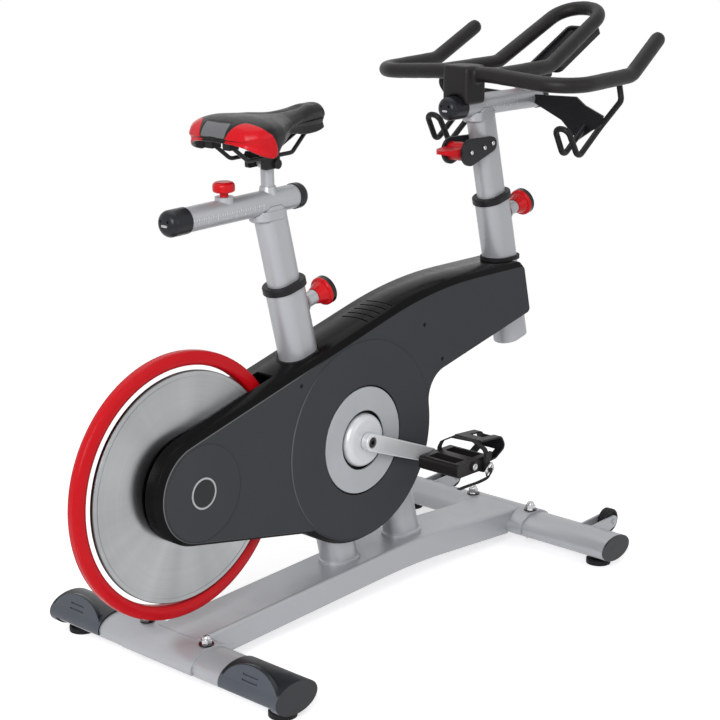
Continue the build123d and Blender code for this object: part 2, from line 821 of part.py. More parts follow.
# ---------------------------------------------------------------- shroud
def shroud_outline(grow=0.0):
    """Side view of the shroud: round tail, big round belly and the arm to the head tube."""
    rear = shroud_rear_radius + grow
    belly = shroud_crank_radius + grow
    spread = asin((shroud_crank_radius - shroud_rear_radius) / axle_to_crank)
    up = (-sin(spread), cos(spread))
    under = radians(shroud_under_slope)
    down = (-sin(under), -cos(under))
    tail_top = (axle_x + rear * up[0], axle_height + rear * up[1])
    belly_top = (crank_x + belly * up[0], axle_height + belly * up[1])
    tail_low = (axle_x + rear * down[0], axle_height + rear * down[1])
    run = axle_to_crank * 0.9
    belly_low = (tail_low[0] + run * cos(under), tail_low[1] - run * sin(under))
    body = make_face(
        Polyline(tail_top, belly_top, (crank_x, axle_height), belly_low, tail_low, close=True)
    )
    body += Pos(axle_x, axle_height) * Circle(rear)
    body += Pos(crank_x, axle_height) * Circle(belly)
    top = shroud_top_height + grow
    crest_x = belly_top[0] + (top - belly_top[1]) / tan(spread)
    nose_low = (crank_x + shroud_nose_x + grow, shroud_nose_height - grow)
    nose_top = (nose_low[0] - (top - nose_low[1]) * tan(radians(head_lean)), top)
    belly_join = (crank_x + shroud_belly_x, shroud_belly_height - grow)
    root = (crank_x + shroud_crank_radius * 0.75, shroud_belly_height - 30 - grow)
    arm = make_face(
        Polyline(
            belly_top, (crest_x, top), nose_top, nose_low, belly_join, root,
            (crank_x, axle_height), close=True,
        )
    )
    crest = arm.vertices().filter_by(lambda v: hypot(v.X - crest_x, v.Y - top) < 1)
    room = min((crest_x - belly_top[0]) / cos(spread), nose_top[0] - crest_x)
    arm = fillet(crest, min(shroud_top_radius, 0.9 * room / tan(spread / 2)))
    nose = arm.vertices().filter_by(lambda v: v.X > nose_top[0] - 1)
    arm = fillet(nose, shroud_nose_round)
    outline = body + arm
    throat = outline.vertices().filter_by(
        lambda v: v.X > crank_x + shroud_crank_radius * 0.6 and v.Y < shroud_belly_height
    )
    throat = throat.filter_by(lambda v: hypot(v.X - crank_x, v.Y - axle_height) < belly + 2)
    return fillet(throat, shroud_throat)


def shroud_body(grow, half_width):
    """Full solid of one side's cover, from the middle out to half_width on the right."""
    face = shroud_outline(grow)
    body = side_plate(face, -shroud_seam / 2, -half_width)
    rim = body.faces().sort_by(Axis.Y)[0]
    edges = rim.outer_wire().edges()
    return chamfer(edges, length=shroud_edge, length2=shroud_edge_depth, reference=rim)


def shroud_cuts():
    """Everything that passes through the covers, slightly oversize."""
    clear = 2.0
    tube = SlotOverall(tube_length + 2 * clear, tube_width + 2 * clear)
    cuts = Part()
    for axis_x, lean, reach in (
        (seat_axis_x, seat_lean, 900), (head_axis_x, head_lean, 900), (strut_axis(), strut_lean, 400),
    ):
        cuts += extrude(tube_plane(axis_x, lean, -400) * tube, amount=reach)
    slot_x = axle_x + shroud_slot_x
    cuts += block(-far, slot_x, -shroud_slot_half_width, shroud_slot_half_width, 0, far)
    return cuts


def screw_places():
    """Side-view places of the cover screws."""
    return (
        (crank_x - 150, axle_height + 128),
        (crank_x + 162, axle_height + 175),
        (crank_x + 212, axle_height + 103),
    )


def vent_slots():
    """Row of bowed slots across the covers' top, ahead of the seat tube."""
    slots = Part()
    for i in range(vent_count):
        x = crank_x + vent_start + i * vent_pitch
        middle = (x, (vent_left + vent_right) / 2)
        bow = ThreePointArc((x - vent_bow, vent_left), middle, (x - vent_bow, vent_right))
        slots += extrude(Pos(0, 0, vent_floor) * SlotArc(bow, vent_width), amount=shroud_top_height)
    return slots


def make_shroud_cover():
    """Right-hand cover before its vents: thin wall, raised round belly and tail, ring recess and holes."""
    body = shroud_body(shroud_edge, shroud_half_width)
    hollow = shroud_body(shroud_edge - shroud_wall, shroud_half_width - shroud_wall)
    hollow = hollow + Pos(0, shroud_seam, 0) * hollow
    bosses = Part()
    for x, radius in ((crank_x, shroud_crank_radius - 2), (axle_x, shroud_rear_radius - 2)):
        y0 = -shroud_half_width - boss_thickness
        bosses += rod_y(x, axle_height, radius, y0, -shroud_half_width)
    cover = body - hollow + bosses
    face_y = -shroud_half_width - boss_thickness
    recess = ring_outer_radius + ring_recess_gap
    cover -= rod_y(crank_x, axle_height, recess, face_y, face_y + ring_thickness + 0.5)
    cover -= rod_y(crank_x, axle_height, ring_inner_radius, -far, -shroud_half_width + 10)
    cover -= rod_y(axle_x, axle_height, badge_radius, face_y, face_y + 1.0)
    for x, z in screw_places():
        cover -= rod_y(x, z, screw_radius, -far, -shroud_half_width + 10)
    cover -= shroud_cuts()
    return cover.solids().sort_by(SortBy.VOLUME)[-1]


def make_crank_rings():
    """Plain ring plate that trims the crank opening on each side."""
    y0 = -shroud_half_width - boss_thickness + 0.5
    ring = rod_y(crank_x, axle_height, ring_outer_radius, y0, y0 + ring_thickness)
    ring -= rod_y(crank_x, axle_height, ring_inner_radius, -far, far)
    ring = fillet(ring.faces().sort_by(Axis.Y)[0].edges(), 0.8)
    return ring + mirrored(ring)


def make_side_badges():
    """Plain round badge on each side of the tail."""
    y1 = -shroud_half_width - boss_thickness + 1.0
    badge = rod_y(axle_x, axle_height, badge_radius, y1 - badge_thickness, y1)
    dish = rod_y(axle_x, axle_height, badge_radius - 3, -far, y1 - badge_thickness + 0.8)
    badge -= dish
    return badge + mirrored(badge)


def make_shroud_screws():
    parts = Part()
    for x, z in screw_places():
        head_y = -shroud_half_width + 1.0
        head = rod_y(x, z, screw_radius, head_y, head_y + 2.5)
        socket_face = Plane(origin=(x, head_y, z), x_dir=(1, 0, 0), z_dir=(0, 1, 0))
        head -= extrude(socket_face * RegularPolygon(screw_radius / 2, 6), amount=1.5)
        shank = rod_y(x, z, screw_radius * 0.5, head_y + 2.5, head_y + 12)
        parts += head + shank
    return parts + mirrored(parts)


def make_tube_gaskets():
    """Rubber rings where the seat tube and head tube enter the covers."""
    seat_z = shroud_top_height - 76
    seat_s = along_for_height(seat_lean, seat_z)
    rings = Part()
    outer = SlotOverall(tube_length + 2 * gasket_wall, tube_width + 2 * gasket_wall)
    seat = extrude(tube_plane(seat_axis_x, seat_lean, seat_s) * outer, amount=gasket_height)
    seat -= outer_tube(seat_axis_x, seat_lean, seat_s - 20, seat_s + 40)
    seat = seat - shroud_body(shroud_edge, shroud_half_width)
    seat -= mirrored(shroud_body(shroud_edge, shroud_half_width))
    head_x = axis_point_at(head_axis_x, head_lean, shroud_top_height + shroud_edge)
    top = Pos(head_x, 0, shroud_top_height + shroud_edge) * outer
    head = extrude(top, amount=gasket_height)
    head -= outer_tube(head_axis_x, head_lean, head_tube_bottom, head_tube_top)
    rings = head
    for solid in seat.solids():
        rings += solid
    return rings


# ---------------------------------------------------------------- flywheel
def make_flywheel_guard():
    """Hoop round the flywheel's rim, open inside the covers."""
    section = RectangleRounded(guard_depth, guard_width, guard_round)
    radius = guard_radius - guard_depth / 2
    start = Plane(origin=(radius, 0, 0), x_dir=(1, 0, 0), z_dir=(0, 0, 1)) * section
    hoop = revolve(start, axis=Axis.Y, revolution_arc=guard_end - guard_start)
    return Pos(axle_x, 0, axle_height) * Rot(0, 360 - guard_end, 0) * hoop


def make_flywheel_disc():
    y0 = -flywheel_offset - flywheel_thickness / 2
    disc = rod_y(axle_x, axle_height, flywheel_radius, y0, y0 + flywheel_thickness)
    disc = chamfer(disc.edges().filter_by(GeomType.CIRCLE), 1.2)
    groove = rod_y(axle_x, axle_height, flywheel_radius - 8, -far, y0 + 0.6)
    groove -= rod_y(axle_x, axle_height, flywheel_radius - 9, -far, far)
    disc -= groove
    return disc - rod_y(axle_x, axle_height, flywheel_hub_radius - 8, -far, far)


def make_flywheel_axle():
    """Turning axle with the flywheel hub, spacers and the small belt pulley."""
    end = pulley_offset + pulley_width / 2
    far_end = tube_width / 2 + stay_thickness + 4
    axle = rod_y(axle_x, axle_height, axle_radius, -end, far_end)
    hub_y0 = -flywheel_offset - flywheel_hub_width / 2
    hub = rod_y(axle_x, axle_height, flywheel_hub_radius, hub_y0, hub_y0 + flywheel_hub_width)
    disc_y0 = -flywheel_offset - flywheel_thickness / 2
    rim = rod_y(axle_x, axle_height, flywheel_radius, disc_y0, disc_y0 + flywheel_thickness)
    rim -= rod_y(axle_x, axle_height, flywheel_hub_radius - 8, -far, far)
    hub -= rim
    inside = tube_width / 2 + stay_thickness - housing_width
    spacer = rod_y(axle_x, axle_height, axle_spacer_radius, hub_y0 + 2, inside - 0.5)
    spacer -= rod_y(axle_x, axle_height, axle_radius, -far, far)
    pulley = small_pulley()
    return axle + hub + spacer + pulley


def small_pulley():
    half = pulley_width / 2
    y0 = -pulley_offset - half
    rim = rod_y(axle_x, axle_height, small_pulley_radius, y0, y0 + pulley_width)
    return rim


# ---------------------------------------------------------------- crank set
def make_crank_spindle():
    """Spindle through the frame, with a socket-head bolt in each end."""
    seat = crank_outer_faces / 2 - crank_bolt_height - 1
    part = rod_y(crank_x, axle_height, spindle_radius, -seat, seat)
    for side in (-1, 1):
        tip = side * (seat + crank_bolt_height)
        part += rod_y(
            crank_x, axle_height, crank_bolt_radius, min(side * seat, tip), max(side * seat, tip)
        )
        socket_face = Plane(
            origin=(crank_x, tip, axle_height), x_dir=(1, 0, 0), z_dir=(0, -side, 0)
        )
        part -= extrude(socket_face * RegularPolygon(4, 6), amount=4)
    return part


def make_crank_pulley():
    """Large belt pulley with a thin web and round lightening holes."""
    y0 = -pulley_offset - pulley_width / 2
    pulley = rod_y(crank_x, axle_height, pulley_radius, y0, y0 + pulley_width)
    web0 = -pulley_offset - pulley_web / 2
    for y_a, y_b in ((y0, web0), (web0 + pulley_web, y0 + pulley_width)):
        well = rod_y(crank_x, axle_height, pulley_radius - 9, y_a, y_b)
        pulley -= well - rod_y(crank_x, axle_height, 26, -far, far)
    for i in range(6):
        a = 2 * pi * i / 6
        pulley -= rod_y(crank_x + 84 * cos(a), axle_height + 84 * sin(a), 30, -far, far)
    return pulley - rod_y(crank_x, axle_height, spindle_radius, -far, far)


def pedal_axis(side):
    """Side-view place of a pedal's spindle; side is -1 on the rider's right."""
    a = radians(crank_angle if side < 0 else crank_angle + 180)
    return (crank_x + crank_length * cos(a), axle_height + crank_length * sin(a))


def make_crank_arm(side):
    px, pz = pedal_axis(side)
    outer = side * crank_outer_faces / 2
    inner = side * (crank_outer_faces / 2 - crank_arm_thickness)
    y_left = max(outer, inner)
    y_right = min(outer, inner)
    hull = round_hull(crank_x, axle_height, crank_hub_width / 2, px, pz, crank_end_width / 2)
    arm = side_plate(hull, y_left, y_right)
    arm = fillet(arm.edges().filter_by(lambda e: abs(e.center().Y - outer) < 0.01), 2.0)
    arm -= rod_y(crank_x, axle_height, spindle_radius, -far, far)
    arm -= rod_y(px, pz, pedal_spindle_radius + slip, -far, far)
    return arm


def make_hub_covers():
    """Domed cover round the spindle, under each crank arm."""
    base = -shroud_half_width + shroud_wall
    dome = rod_y(crank_x, axle_height, hub_cover_radius, base - hub_cover_height, base)
    dome = fillet(dome.faces().sort_by(Axis.Y)[0].edges(), hub_cover_height - 1.5)
    dome -= rod_y(crank_x, axle_height, hub_cover_radius - 14, base - 8, base)
    dome -= rod_y(crank_x, axle_height, spindle_radius, -far, far)
    dome -= make_crank_arm(-1)
    left = mirrored(rod_y(crank_x, axle_height, hub_cover_radius, base - hub_cover_height, base))
    left = fillet(left.faces().sort_by(Axis.Y)[-1].edges(), hub_cover_height - 1.5)
    left -= rod_y(crank_x, axle_height, hub_cover_radius - 14, -base, -base + 8)
    left -= rod_y(crank_x, axle_height, spindle_radius, -far, far)
    left -= make_crank_arm(1)
    return dome + left


def make_drive_belt():
    outer = belt_thickness + gap
    loop = round_hull(
        axle_x, axle_height, small_pulley_radius + outer, crank_x, axle_height, pulley_radius + outer
    )
    hole = round_hull(
        axle_x, axle_height, small_pulley_radius + gap, crank_x, axle_height, pulley_radius + gap
    )
    y_left = -pulley_offset + pulley_width / 2 - 1
    return side_plate(loop - hole, y_left, -pulley_offset - pulley_width / 2 + 1)


# ---------------------------------------------------------------- pedals
def pedal_inside(side):
    return side * (crank_outer_faces / 2 + pedal_gap)


def make_pedal(side):
    """Platform body with tread bars, and its spindle with the outer end cap."""
    px, pz = pedal_axis(side)
    y_in = pedal_inside(side)
    y_mid = y_in + side * pedal_width / 2
    body = Pos(px, y_mid, pz) * Box(pedal_length, pedal_width, pedal_height)
    body = fillet(body.edges().filter_by(Axis.Y), 6)
    well = (pedal_length - 40) / 2
    for end in (-1, 1):
        x = px + end * (10 + well / 2)
        body -= Pos(x, y_mid, pz) * Box(well, pedal_width - 26, pedal_height)
    spindle_in = side * (crank_outer_faces / 2 - crank_arm_thickness)
    y0 = min(spindle_in, y_mid)
    y1 = max(spindle_in, y_mid)
    body += rod_y(px, pz, pedal_spindle_radius, y0, y1)
    collar_y = side * (crank_outer_faces / 2 + 0.5)
    body += rod_y(px, pz, 10, min(collar_y, y_in), max(collar_y, y_in))
    y_out = y_in + side * pedal_width
    cap_y = y_out + side * 3
    body += rod_y(px, pz, 9, min(y_out, cap_y), max(y_out, cap_y))
    return body


def make_toe_cage(side):
    """Toe clip: two arms from the pedal's front edge, closed over the toe."""
    px, pz = pedal_axis(side)
    y_in = pedal_inside(side)
    y_mid = y_in + side * pedal_width / 2
    front = px + pedal_length / 2
    low = pz - pedal_height / 2
    profile = [
        (front, low + 3),
        (front + cage_reach * 0.55, low + 6),
        (front + cage_reach, low + cage_height * 0.5),
        (front + cage_reach * 0.8, low + cage_height),
        (front - 8, low + cage_height + 4),
    ]
    line = FilletPolyline(*profile, radius=10)
    band = offset(line, amount=cage_wall / 2, side=Side.BOTH)
    ribbon = make_face(band)
    parts = Part()
    for y in (y_mid - 30, y_mid + 30 - cage_strap_width):
        parts += side_plate(ribbon, y + cage_strap_width, y)
    nose_x = front + cage_reach
    window = block(nose_x - 22, nose_x + 20, y_mid - 30, y_mid + 30, low + 16, low + cage_height - 4)
    bridge = side_plate(ribbon, y_mid + 30, y_mid - 30) & window
    top = block(front - 14, front + 14, y_mid - 30, y_mid + 30, low + cage_height - 8, low + cage_height + 12)
    bridge_top = side_plate(ribbon, y_mid + 30, y_mid - 30) & top
    return parts + bridge + bridge_top - make_pedal(side)


def make_toe_strap(side):
    """Strap that passes under the pedal and closes over the shoe."""
    px, pz = pedal_axis(side)
    y_in = pedal_inside(side)
    y_mid = y_in + side * pedal_width / 2
    half = pedal_width / 2 + toe_strap_ease
    low = pz - pedal_height / 2 - 4
    high = pz - pedal_height / 2 + toe_strap_rise
    knee = pz + pedal_height / 2 + 2
    path = [
        (y_mid - half, low), (y_mid + half, low), (y_mid + half, knee), (y_mid + half - 6, high - 12),
        (y_mid + 22, high), (y_mid - 22, high), (y_mid - half + 6, high - 12), (y_mid - half, knee),
    ]
    ring = make_face(Polyline(*path, close=True))
    ring = fillet(ring.vertices(), 6)
    ring -= offset(ring, amount=-toe_strap_thickness)
    x0 = px + toe_strap_x
    plane = Plane(origin=(x0, 0, 0), x_dir=(0, 1, 0), z_dir=(1, 0, 0))
    strap = extrude(plane * ring, amount=toe_strap_width / 2, both=True)
    buckle_y = y_mid + side * half
    buckle = Pos(x0, buckle_y, pz + 12) * Box(toe_strap_width + 8, 5, 16)
    turn = Pos(x0, y_mid, 0) * Rot(0, 0, -side * toe_strap_skew) * Pos(-x0, -y_mid, 0)
    return turn * (strap + buckle)


# ---------------------------------------------------------------- sliding posts and sliders
def seat_slide_frame():
    """Turns pieces drawn level into the saddle slider's slight climb."""
    x = axis_point_at(seat_axis_x, seat_lean, seat_slider_height)
    pivot = Pos(x, 0, seat_slider_height)
    return pivot * Rot(0, -seat_slider_rise, 0) * Pos(-x, 0, -seat_slider_height)


def slide_head(x, z, frame):
    """Cradle, web and inner rail that a slider tube rides on."""
    low = z - slider_radius - cradle_depth + 8
    cradle = Pos(x, 0, low) * extrude(SlotOverall(cradle_length, cradle_width), amount=cradle_depth)
    cradle = chamfer(cradle.faces().sort_by(Axis.Z)[0].edges(), 3)
    half_rail = rail_length / 2
    cradle -= rod_x(0, z, slider_radius + gap, x - far, x + far)
    half_web = web_length / 2
    web = block(x - half_web, x + half_web, -web_width / 2, web_width / 2, low + 4, z)
    rail = rod_x(0, z, slider_radius - slider_wall - slip, x - half_rail, x + half_rail)
    return frame * (cradle + web + rail)


def sliding_post(axis_x, lean, bottom, slider_z, frame):
    """Flat-oval post with its row of index holes and the slide head on top."""
    top = along_for_height(lean, slider_z)
    post = oval_bar(axis_x, lean, bottom, top, post_length, post_width)
    core = oval_bar(
        axis_x, lean, bottom, top - slider_radius - cradle_depth,
        post_length - 2 * post_wall, post_width - 2 * post_wall,
    )
    x = axis_point_at(axis_x, lean, slider_z)
    room = frame * rod_x(0, slider_z, slider_radius + gap, x - far, x + far)
    post = post - room - core
    post = post + slide_head(x, slider_z, frame)
    return post


def index_holes(axis_x, lean, s_from, count):
    """Row of index holes in a post's front wall."""
    holes = Part()
    for i in range(count):
        plane = knob_plane(axis_x, lean, s_from + i * scale_hole_pitch, post_length / 2 - 8)
        holes += extrude(plane * Circle(scale_hole_radius), amount=16)
    return holes


def make_seat_post():
    post = sliding_post(seat_axis_x, seat_lean, seat_post_bottom, seat_slider_height, seat_slide_frame())
    return post - index_holes(seat_axis_x, seat_lean, seat_post_bottom + 20, 12)


def make_handlebar_post():
    post = sliding_post(head_axis_x, head_lean, bar_post_bottom, bar_slider_height, Pos(0, 0, 0))
    return post - index_holes(head_axis_x, head_lean, bar_post_bottom + 20, 12)


def slider_tube(x, z, back, front, travel_back, travel_forward):
    """Round tube, slotted underneath for the web over its whole travel."""
    tube = rod_x(0, z, slider_radius, x - back, x + front)
    tube -= rod_x(0, z, slider_radius - slider_wall, x - back, x + front)
    slot_half = web_width / 2 + slot_clearance
    slot_x0 = x - web_length / 2 - travel_forward - 2
    slot_x1 = x + web_length / 2 + travel_back + 2
    return tube - block(slot_x0, slot_x1, -slot_half, slot_half, 0, z - 1)


def round_cap(x_end, x_skirt, z):
    """Domed end cap that fits over a slider tube's end."""
    outward = 1 if x_end > x_skirt else -1
    tip = x_end + outward * cap_dome
    cap = rod_x(0, z, slider_radius + cap_wall, min(tip, x_skirt), max(tip, x_skirt))
    tip_face = cap.faces().sort_by(Axis.X)[-1 if outward > 0 else 0]
    cap = fillet(tip_face.edges(), cap_dome - 1)
    cap -= rod_x(0, z, slider_radius, min(x_end, x_skirt), max(x_end, x_skirt))
    for y in (-8.5, 8.5):
        cap -= rod_x(y, z + 5, 2.2, min(tip, x_end), max(tip, x_end))
    return cap


def slider_caps(x, z, back, front, rear_skirt, front_skirt):
    rear = round_cap(x - back, x - back + rear_skirt, z)
    nose = round_cap(x + front, x + front - front_skirt, z)
    return rear + nose


def button_seat(x, z):
    top = z + slider_radius
    boss = rod_z(x, 0, button_boss_radius, z, top + button_boss)
    boss -= rod_x(0, z, slider_radius, x - far, x + far)
    return boss


def button_hole(x, z):
    return rod_z(x, 0, knob_pin_radius + slip, z, z + 2 * slider_radius)


def seat_slider_x():
    return axis_point_at(seat_axis_x, seat_lean, seat_slider_height)


def bar_slider_x():
    return axis_point_at(head_axis_x, head_lean, bar_slider_height)


def make_seat_slider_tube():
    """Saddle slider with its pillar and the boss of its lock knob."""
    x = seat_slider_x()
    z = seat_slider_height
    tube = slider_tube(x, z, seat_slider_back, seat_slider_front, seat_slide_back, seat_slide_forward)
    button_x = x - seat_button_back
    tube += button_seat(button_x, z)
    tube -= button_hole(button_x, z)
    pillar_x = x - pillar_offset
    pillar = rod_z(pillar_x, 0, pillar_radius, z, pillar_top)
    flare = Pos(pillar_x, 0, z) * extrude(Circle(pillar_radius + 8), amount=slider_radius + 6, taper=13)
    barrel = rod_y(pillar_x, barrel_height, barrel_radius, -barrel_width / 2, barrel_width / 2)
    stem = (pillar + flare) - rod_x(0, z, slider_radius, x - far, x + far)
    stem += barrel + rod_z(pillar_x, 0, pillar_radius - 2, pillar_top, barrel_height)
    stem -= rod_y(pillar_x, barrel_height, saddle_bolt_radius + slip, -far, far)
    return seat_slide_frame() * (tube + stem)


def make_seat_slider_caps():
    caps = slider_caps(
        seat_slider_x(), seat_slider_height, seat_slider_back, seat_slider_front,
        seat_cap_skirt_rear, seat_cap_skirt_front,
    )
    return seat_slide_frame() * caps


def make_bar_slider_tube():
    x = bar_slider_x()
    z = bar_slider_height
    tube = slider_tube(x, z, bar_slider_back, bar_slider_front, bar_slide_back, bar_slide_forward)
    button_x = x + bar_button_front
    tube += button_seat(button_x, z)
    return tube - button_hole(button_x, z)


def make_bar_slider_caps():
    return slider_caps(
        bar_slider_x(), bar_slider_height, bar_slider_back, bar_slider_front,
        bar_cap_skirt_rear, seat_cap_skirt_front,
    )


# ---------------------------------------------------------------- knobs
def make_pull_knob(axis_x, lean, s):
    """Pull knob on a tube's front: cupped grip, stem and locking pin."""
    start = tube_length / 2 + knob_boss_length + 0.5
    plane = knob_plane(axis_x, lean, s, start)
    neck = extrude(plane * Circle(knob_radius * 0.55), amount=knob_length, taper=-20)
    rim_start = knob_plane(axis_x, lean, s, start + knob_length * 0.55)
    rim = extrude(rim_start * Circle(knob_radius), amount=knob_length * 0.45)
    rim = fillet(rim.edges().filter_by(GeomType.CIRCLE), 4.5)
    pin_start = tube_length / 2 - tube_wall
    pin = extrude(
        knob_plane(axis_x, lean, s, pin_start) * Circle(knob_pin_radius),
        amount=knob_boss_length + tube_wall + 2,
    )
    limit = extrude(plane * Circle(knob_radius), amount=knob_length)
    return (neck & limit) + rim + pin


def make_button_knob(x, z):
    """Mushroom knob on top of a slider tube, with its pin."""
    neck0 = z + slider_radius + button_boss + gap
    cap0 = neck0 + button_neck
    cap = rod_z(x, 0, button_radius, cap0, cap0 + button_height)
    cap = fillet(cap.faces().sort_by(Axis.Z)[-1].edges(), 7)
    cap = fillet(cap.faces().sort_by(Axis.Z)[0].edges(), 4)
    neck = rod_z(x, 0, button_neck_radius, neck0, cap0)
    pin_low = z + slider_radius - slider_wall + 0.8
    pin = rod_z(x, 0, knob_pin_radius, pin_low, neck0)
    return cap + neck + pin


# ---------------------------------------------------------------- saddle
def saddle_plan(inset=0.0):
    """Plan of the saddle: narrow nose, flared sides and a rounded back."""
    nose_x = saddle_nose
    back_x = saddle_nose - saddle_length
    nose = saddle_nose_width / 2
    side = saddle_width / 2
    flare_x = back_x + 69
    right = [
        ThreePointArc((nose_x, 0), (nose_x - 4, -nose * 0.6), (nose_x - 18, -nose + 2)),
        Line((nose_x - 18, -nose + 2), (nose_x - 104, -nose - 15)),
        ThreePointArc((nose_x - 104, -nose - 15), (flare_x + 40, -side + 24), (flare_x, -side + 2)),
        ThreePointArc((flare_x, -side + 2), (back_x + 35, -side), (back_x + 11, -side + 20)),
        ThreePointArc((back_x + 11, -side + 20), (back_x + 1, -side + 58), (back_x, 0)),
    ]
    left = [mirror(edge, about=Plane.XZ) for edge in right]
    plan = make_face(right + left)
    return offset(plan, amount=-inset) if inset else plan


def saddle_x():
    return seat_slider_x() - pillar_offset


def saddle_place(part):
    return seat_slide_frame() * Pos(saddle_x(), 0, 0) * part


def saddle_low_line():
    """Side view of the padding's lower edge, from nose to back."""
    nose_low = saddle_top - saddle_nose_drop
    waist_low = saddle_top - saddle_waist_drop
    side_low = saddle_top - saddle_side_drop
    return [
        (saddle_nose + 2, nose_low), (62, nose_low + 1.5), (30, waist_low), (-16, waist_low),
        (-42, waist_low - 5), (-56, side_low + 3), (-64, side_low), (-74, side_low + 3), (-95, side_low + 12),
        (saddle_nose - saddle_length - 2, saddle_top - saddle_rear_drop),
    ]


def make_saddle_cushion():
    """Padded top: the plan cut by a dipped side profile, hollow underneath."""
    nose_x = saddle_nose + 2
    rear_x = saddle_nose - saddle_length - 2
    slab = Pos(0, 0, saddle_top - 90) * extrude(saddle_plan(), amount=120)
    top_line = Spline(
        (rear_x, saddle_top - 2), (rear_x + 50, saddle_top + 9), (rear_x + 140, saddle_top),
        (nose_x - 45, saddle_top + 5), (nose_x, saddle_top - 10),
    )
    low = saddle_low_line()
    low_line = Polyline((nose_x, saddle_top - 10), *low, (rear_x, saddle_top - 2))
    side = make_face([top_line, low_line])
    pad = slab & side_plate(side, saddle_width, -saddle_width)
    pocket = extrude(saddle_plan(shell_inset), amount=shell_height)
    return saddle_place(pad - pocket)


def make_saddle_base():
    """Moulded shell inside the padding, with sockets for the rails' ends."""
    plate_z = shell_height - shell_thickness
    shell = Pos(0, 0, plate_z) * extrude(saddle_plan(shell_inset + slip), amount=shell_thickness)
    low = rail_end_height - 7
    nose_x = rail_nose_x()
    rear_x = rail_rear_x()
    nose_half = rail_nose_spacing / 2 + rail_radius + 1.5
    shell += block(nose_x - 12, nose_x + 2, -nose_half, nose_half, low, plate_z)
    for side in (-1, 1):
        y = side * rail_spacing / 2
        shell += block(rear_x - 8, rear_x + 12, y - 8, y + 8, low, plate_z)
    for rod in saddle_rods():
        shell -= rod
    return saddle_place(shell)


def rail_nose_x():
    return saddle_nose - 46


def rail_rear_x():
    return saddle_nose - saddle_length + 20


def saddle_rods():
    """The two rails, drawn beside the pillar."""
    rods = []
    for side in (-1, 1):
        y = side * rail_spacing / 2
        points = [
            (rail_rear_x(), y, rail_end_height), (rail_rear_x() + 38, y, rail_height),
            (38, y, rail_height), (rail_nose_x(), side * rail_nose_spacing / 2, rail_end_height),
        ]
        rods.append(bent_rod(points, 18, rail_radius))
    return rods


def make_saddle_rails():
    """Rails with the clamp cheeks and the bolt through the pillar's barrel."""
    parts = Part()
    for rod in saddle_rods():
        parts += rod
    inner = barrel_width / 2 + gap
    half = clamp_length / 2
    low = rail_height + 7 - clamp_height
    for side in (-1, 1):
        y0 = min(side * inner, side * (inner + clamp_thickness))
        cheek = block(
            -clamp_setback - half, half - clamp_setback, y0, y0 + clamp_thickness, low, rail_height + 7
        )
        parts += fillet(cheek.edges().filter_by(Axis.Y), 4)
    reach = inner + clamp_thickness + 4
    parts += rod_y(0, barrel_height, saddle_bolt_radius, -reach, reach)
    for side in (-1, 1):
        y0 = min(side * (reach - 4), side * reach)
        parts += rod_y(0, barrel_height, 2 * saddle_bolt_radius, y0, y0 + 4)
    return saddle_place(parts)


# ---------------------------------------------------------------- handlebar
def crossbar_x():
    return bar_slider_x() - bar_back


def make_main_bar():
    """Crossbar and the two forward horns, as one bent tube."""
    x = crossbar_x()
    right = [
        (x, 0, bar_height), (x, -60, bar_height), (x + 5, -150, bar_height - 0.6 * bar_droop),
        (x + 7, -bar_half_width, bar_height - bar_droop),
        (x + horn_x, -bar_half_width - 1, bar_height - bar_droop + horn_rise),
        (
            x + horn_x + horn_length_x, horn_toe_in - bar_half_width,
            bar_height - bar_droop + horn_rise + horn_length_z,
        ),
    ]
    left = [(px, -py, pz) for px, py, pz in right]
    points = list(reversed(left[1:])) + right[1:]
    radii = [horn_bend, bar_bend, 90, 60, 60, 90, bar_bend, horn_bend]
    bar = bent_rod(points, radii, bar_radius)
    ends = bar.faces().filter_by(GeomType.PLANE)
    return fillet(ends.edges(), bar_radius - 3)


def loop_points():
    """Middle loop, from the crossbar's left side to its right side."""
    x = crossbar_x()
    half = []
    half.append((x, -loop_half_width, bar_height - 1))
    half.append((x + loop_kink_x, -loop_half_width + 1, bar_height + 3))
    half.append((loop_front() - loop_radius, -loop_top_half_width, loop_top_height))
    return half + [(px, -py, pz) for px, py, pz in reversed(half)]


def loop_front():
    return length / 2


def make_loop():
    radii = [loop_kink_bend, loop_corner, loop_corner, loop_kink_bend]
    return bent_rod(loop_points(), radii, loop_radius)


def make_handlebar():
    return make_main_bar() + make_loop()


def make_stem_block():
    """Moulded block that carries the crossbar on the slider."""
    x = crossbar_x() - 2
    half = block_length / 2
    wide = block_width / 2
    low = bar_slider_height + 6
    top = bar_height + bar_radius + 1
    stem = block(x - half, x + half, -wide, wide, low, top)
    stem = fillet(stem.edges().filter_by(Axis.Z), block_round)
    stem = fillet(stem.faces().sort_by(Axis.Z)[-1].edges(), block_round)
    z = bar_slider_height
    stem -= rod_x(0, z, slider_radius, x - far, x + far)
    stem -= make_bar_slider_caps()
    stem -= make_handlebar()
    return stem.solids().sort_by(SortBy.VOLUME)[-1]


def tray_frame():
    """Places the tray, drawn flat from its rear edge, on its slope."""
    x = crossbar_x() + tray_start
    return Pos(x, 0, tray_height) * Rot(0, -tray_slope, 0)


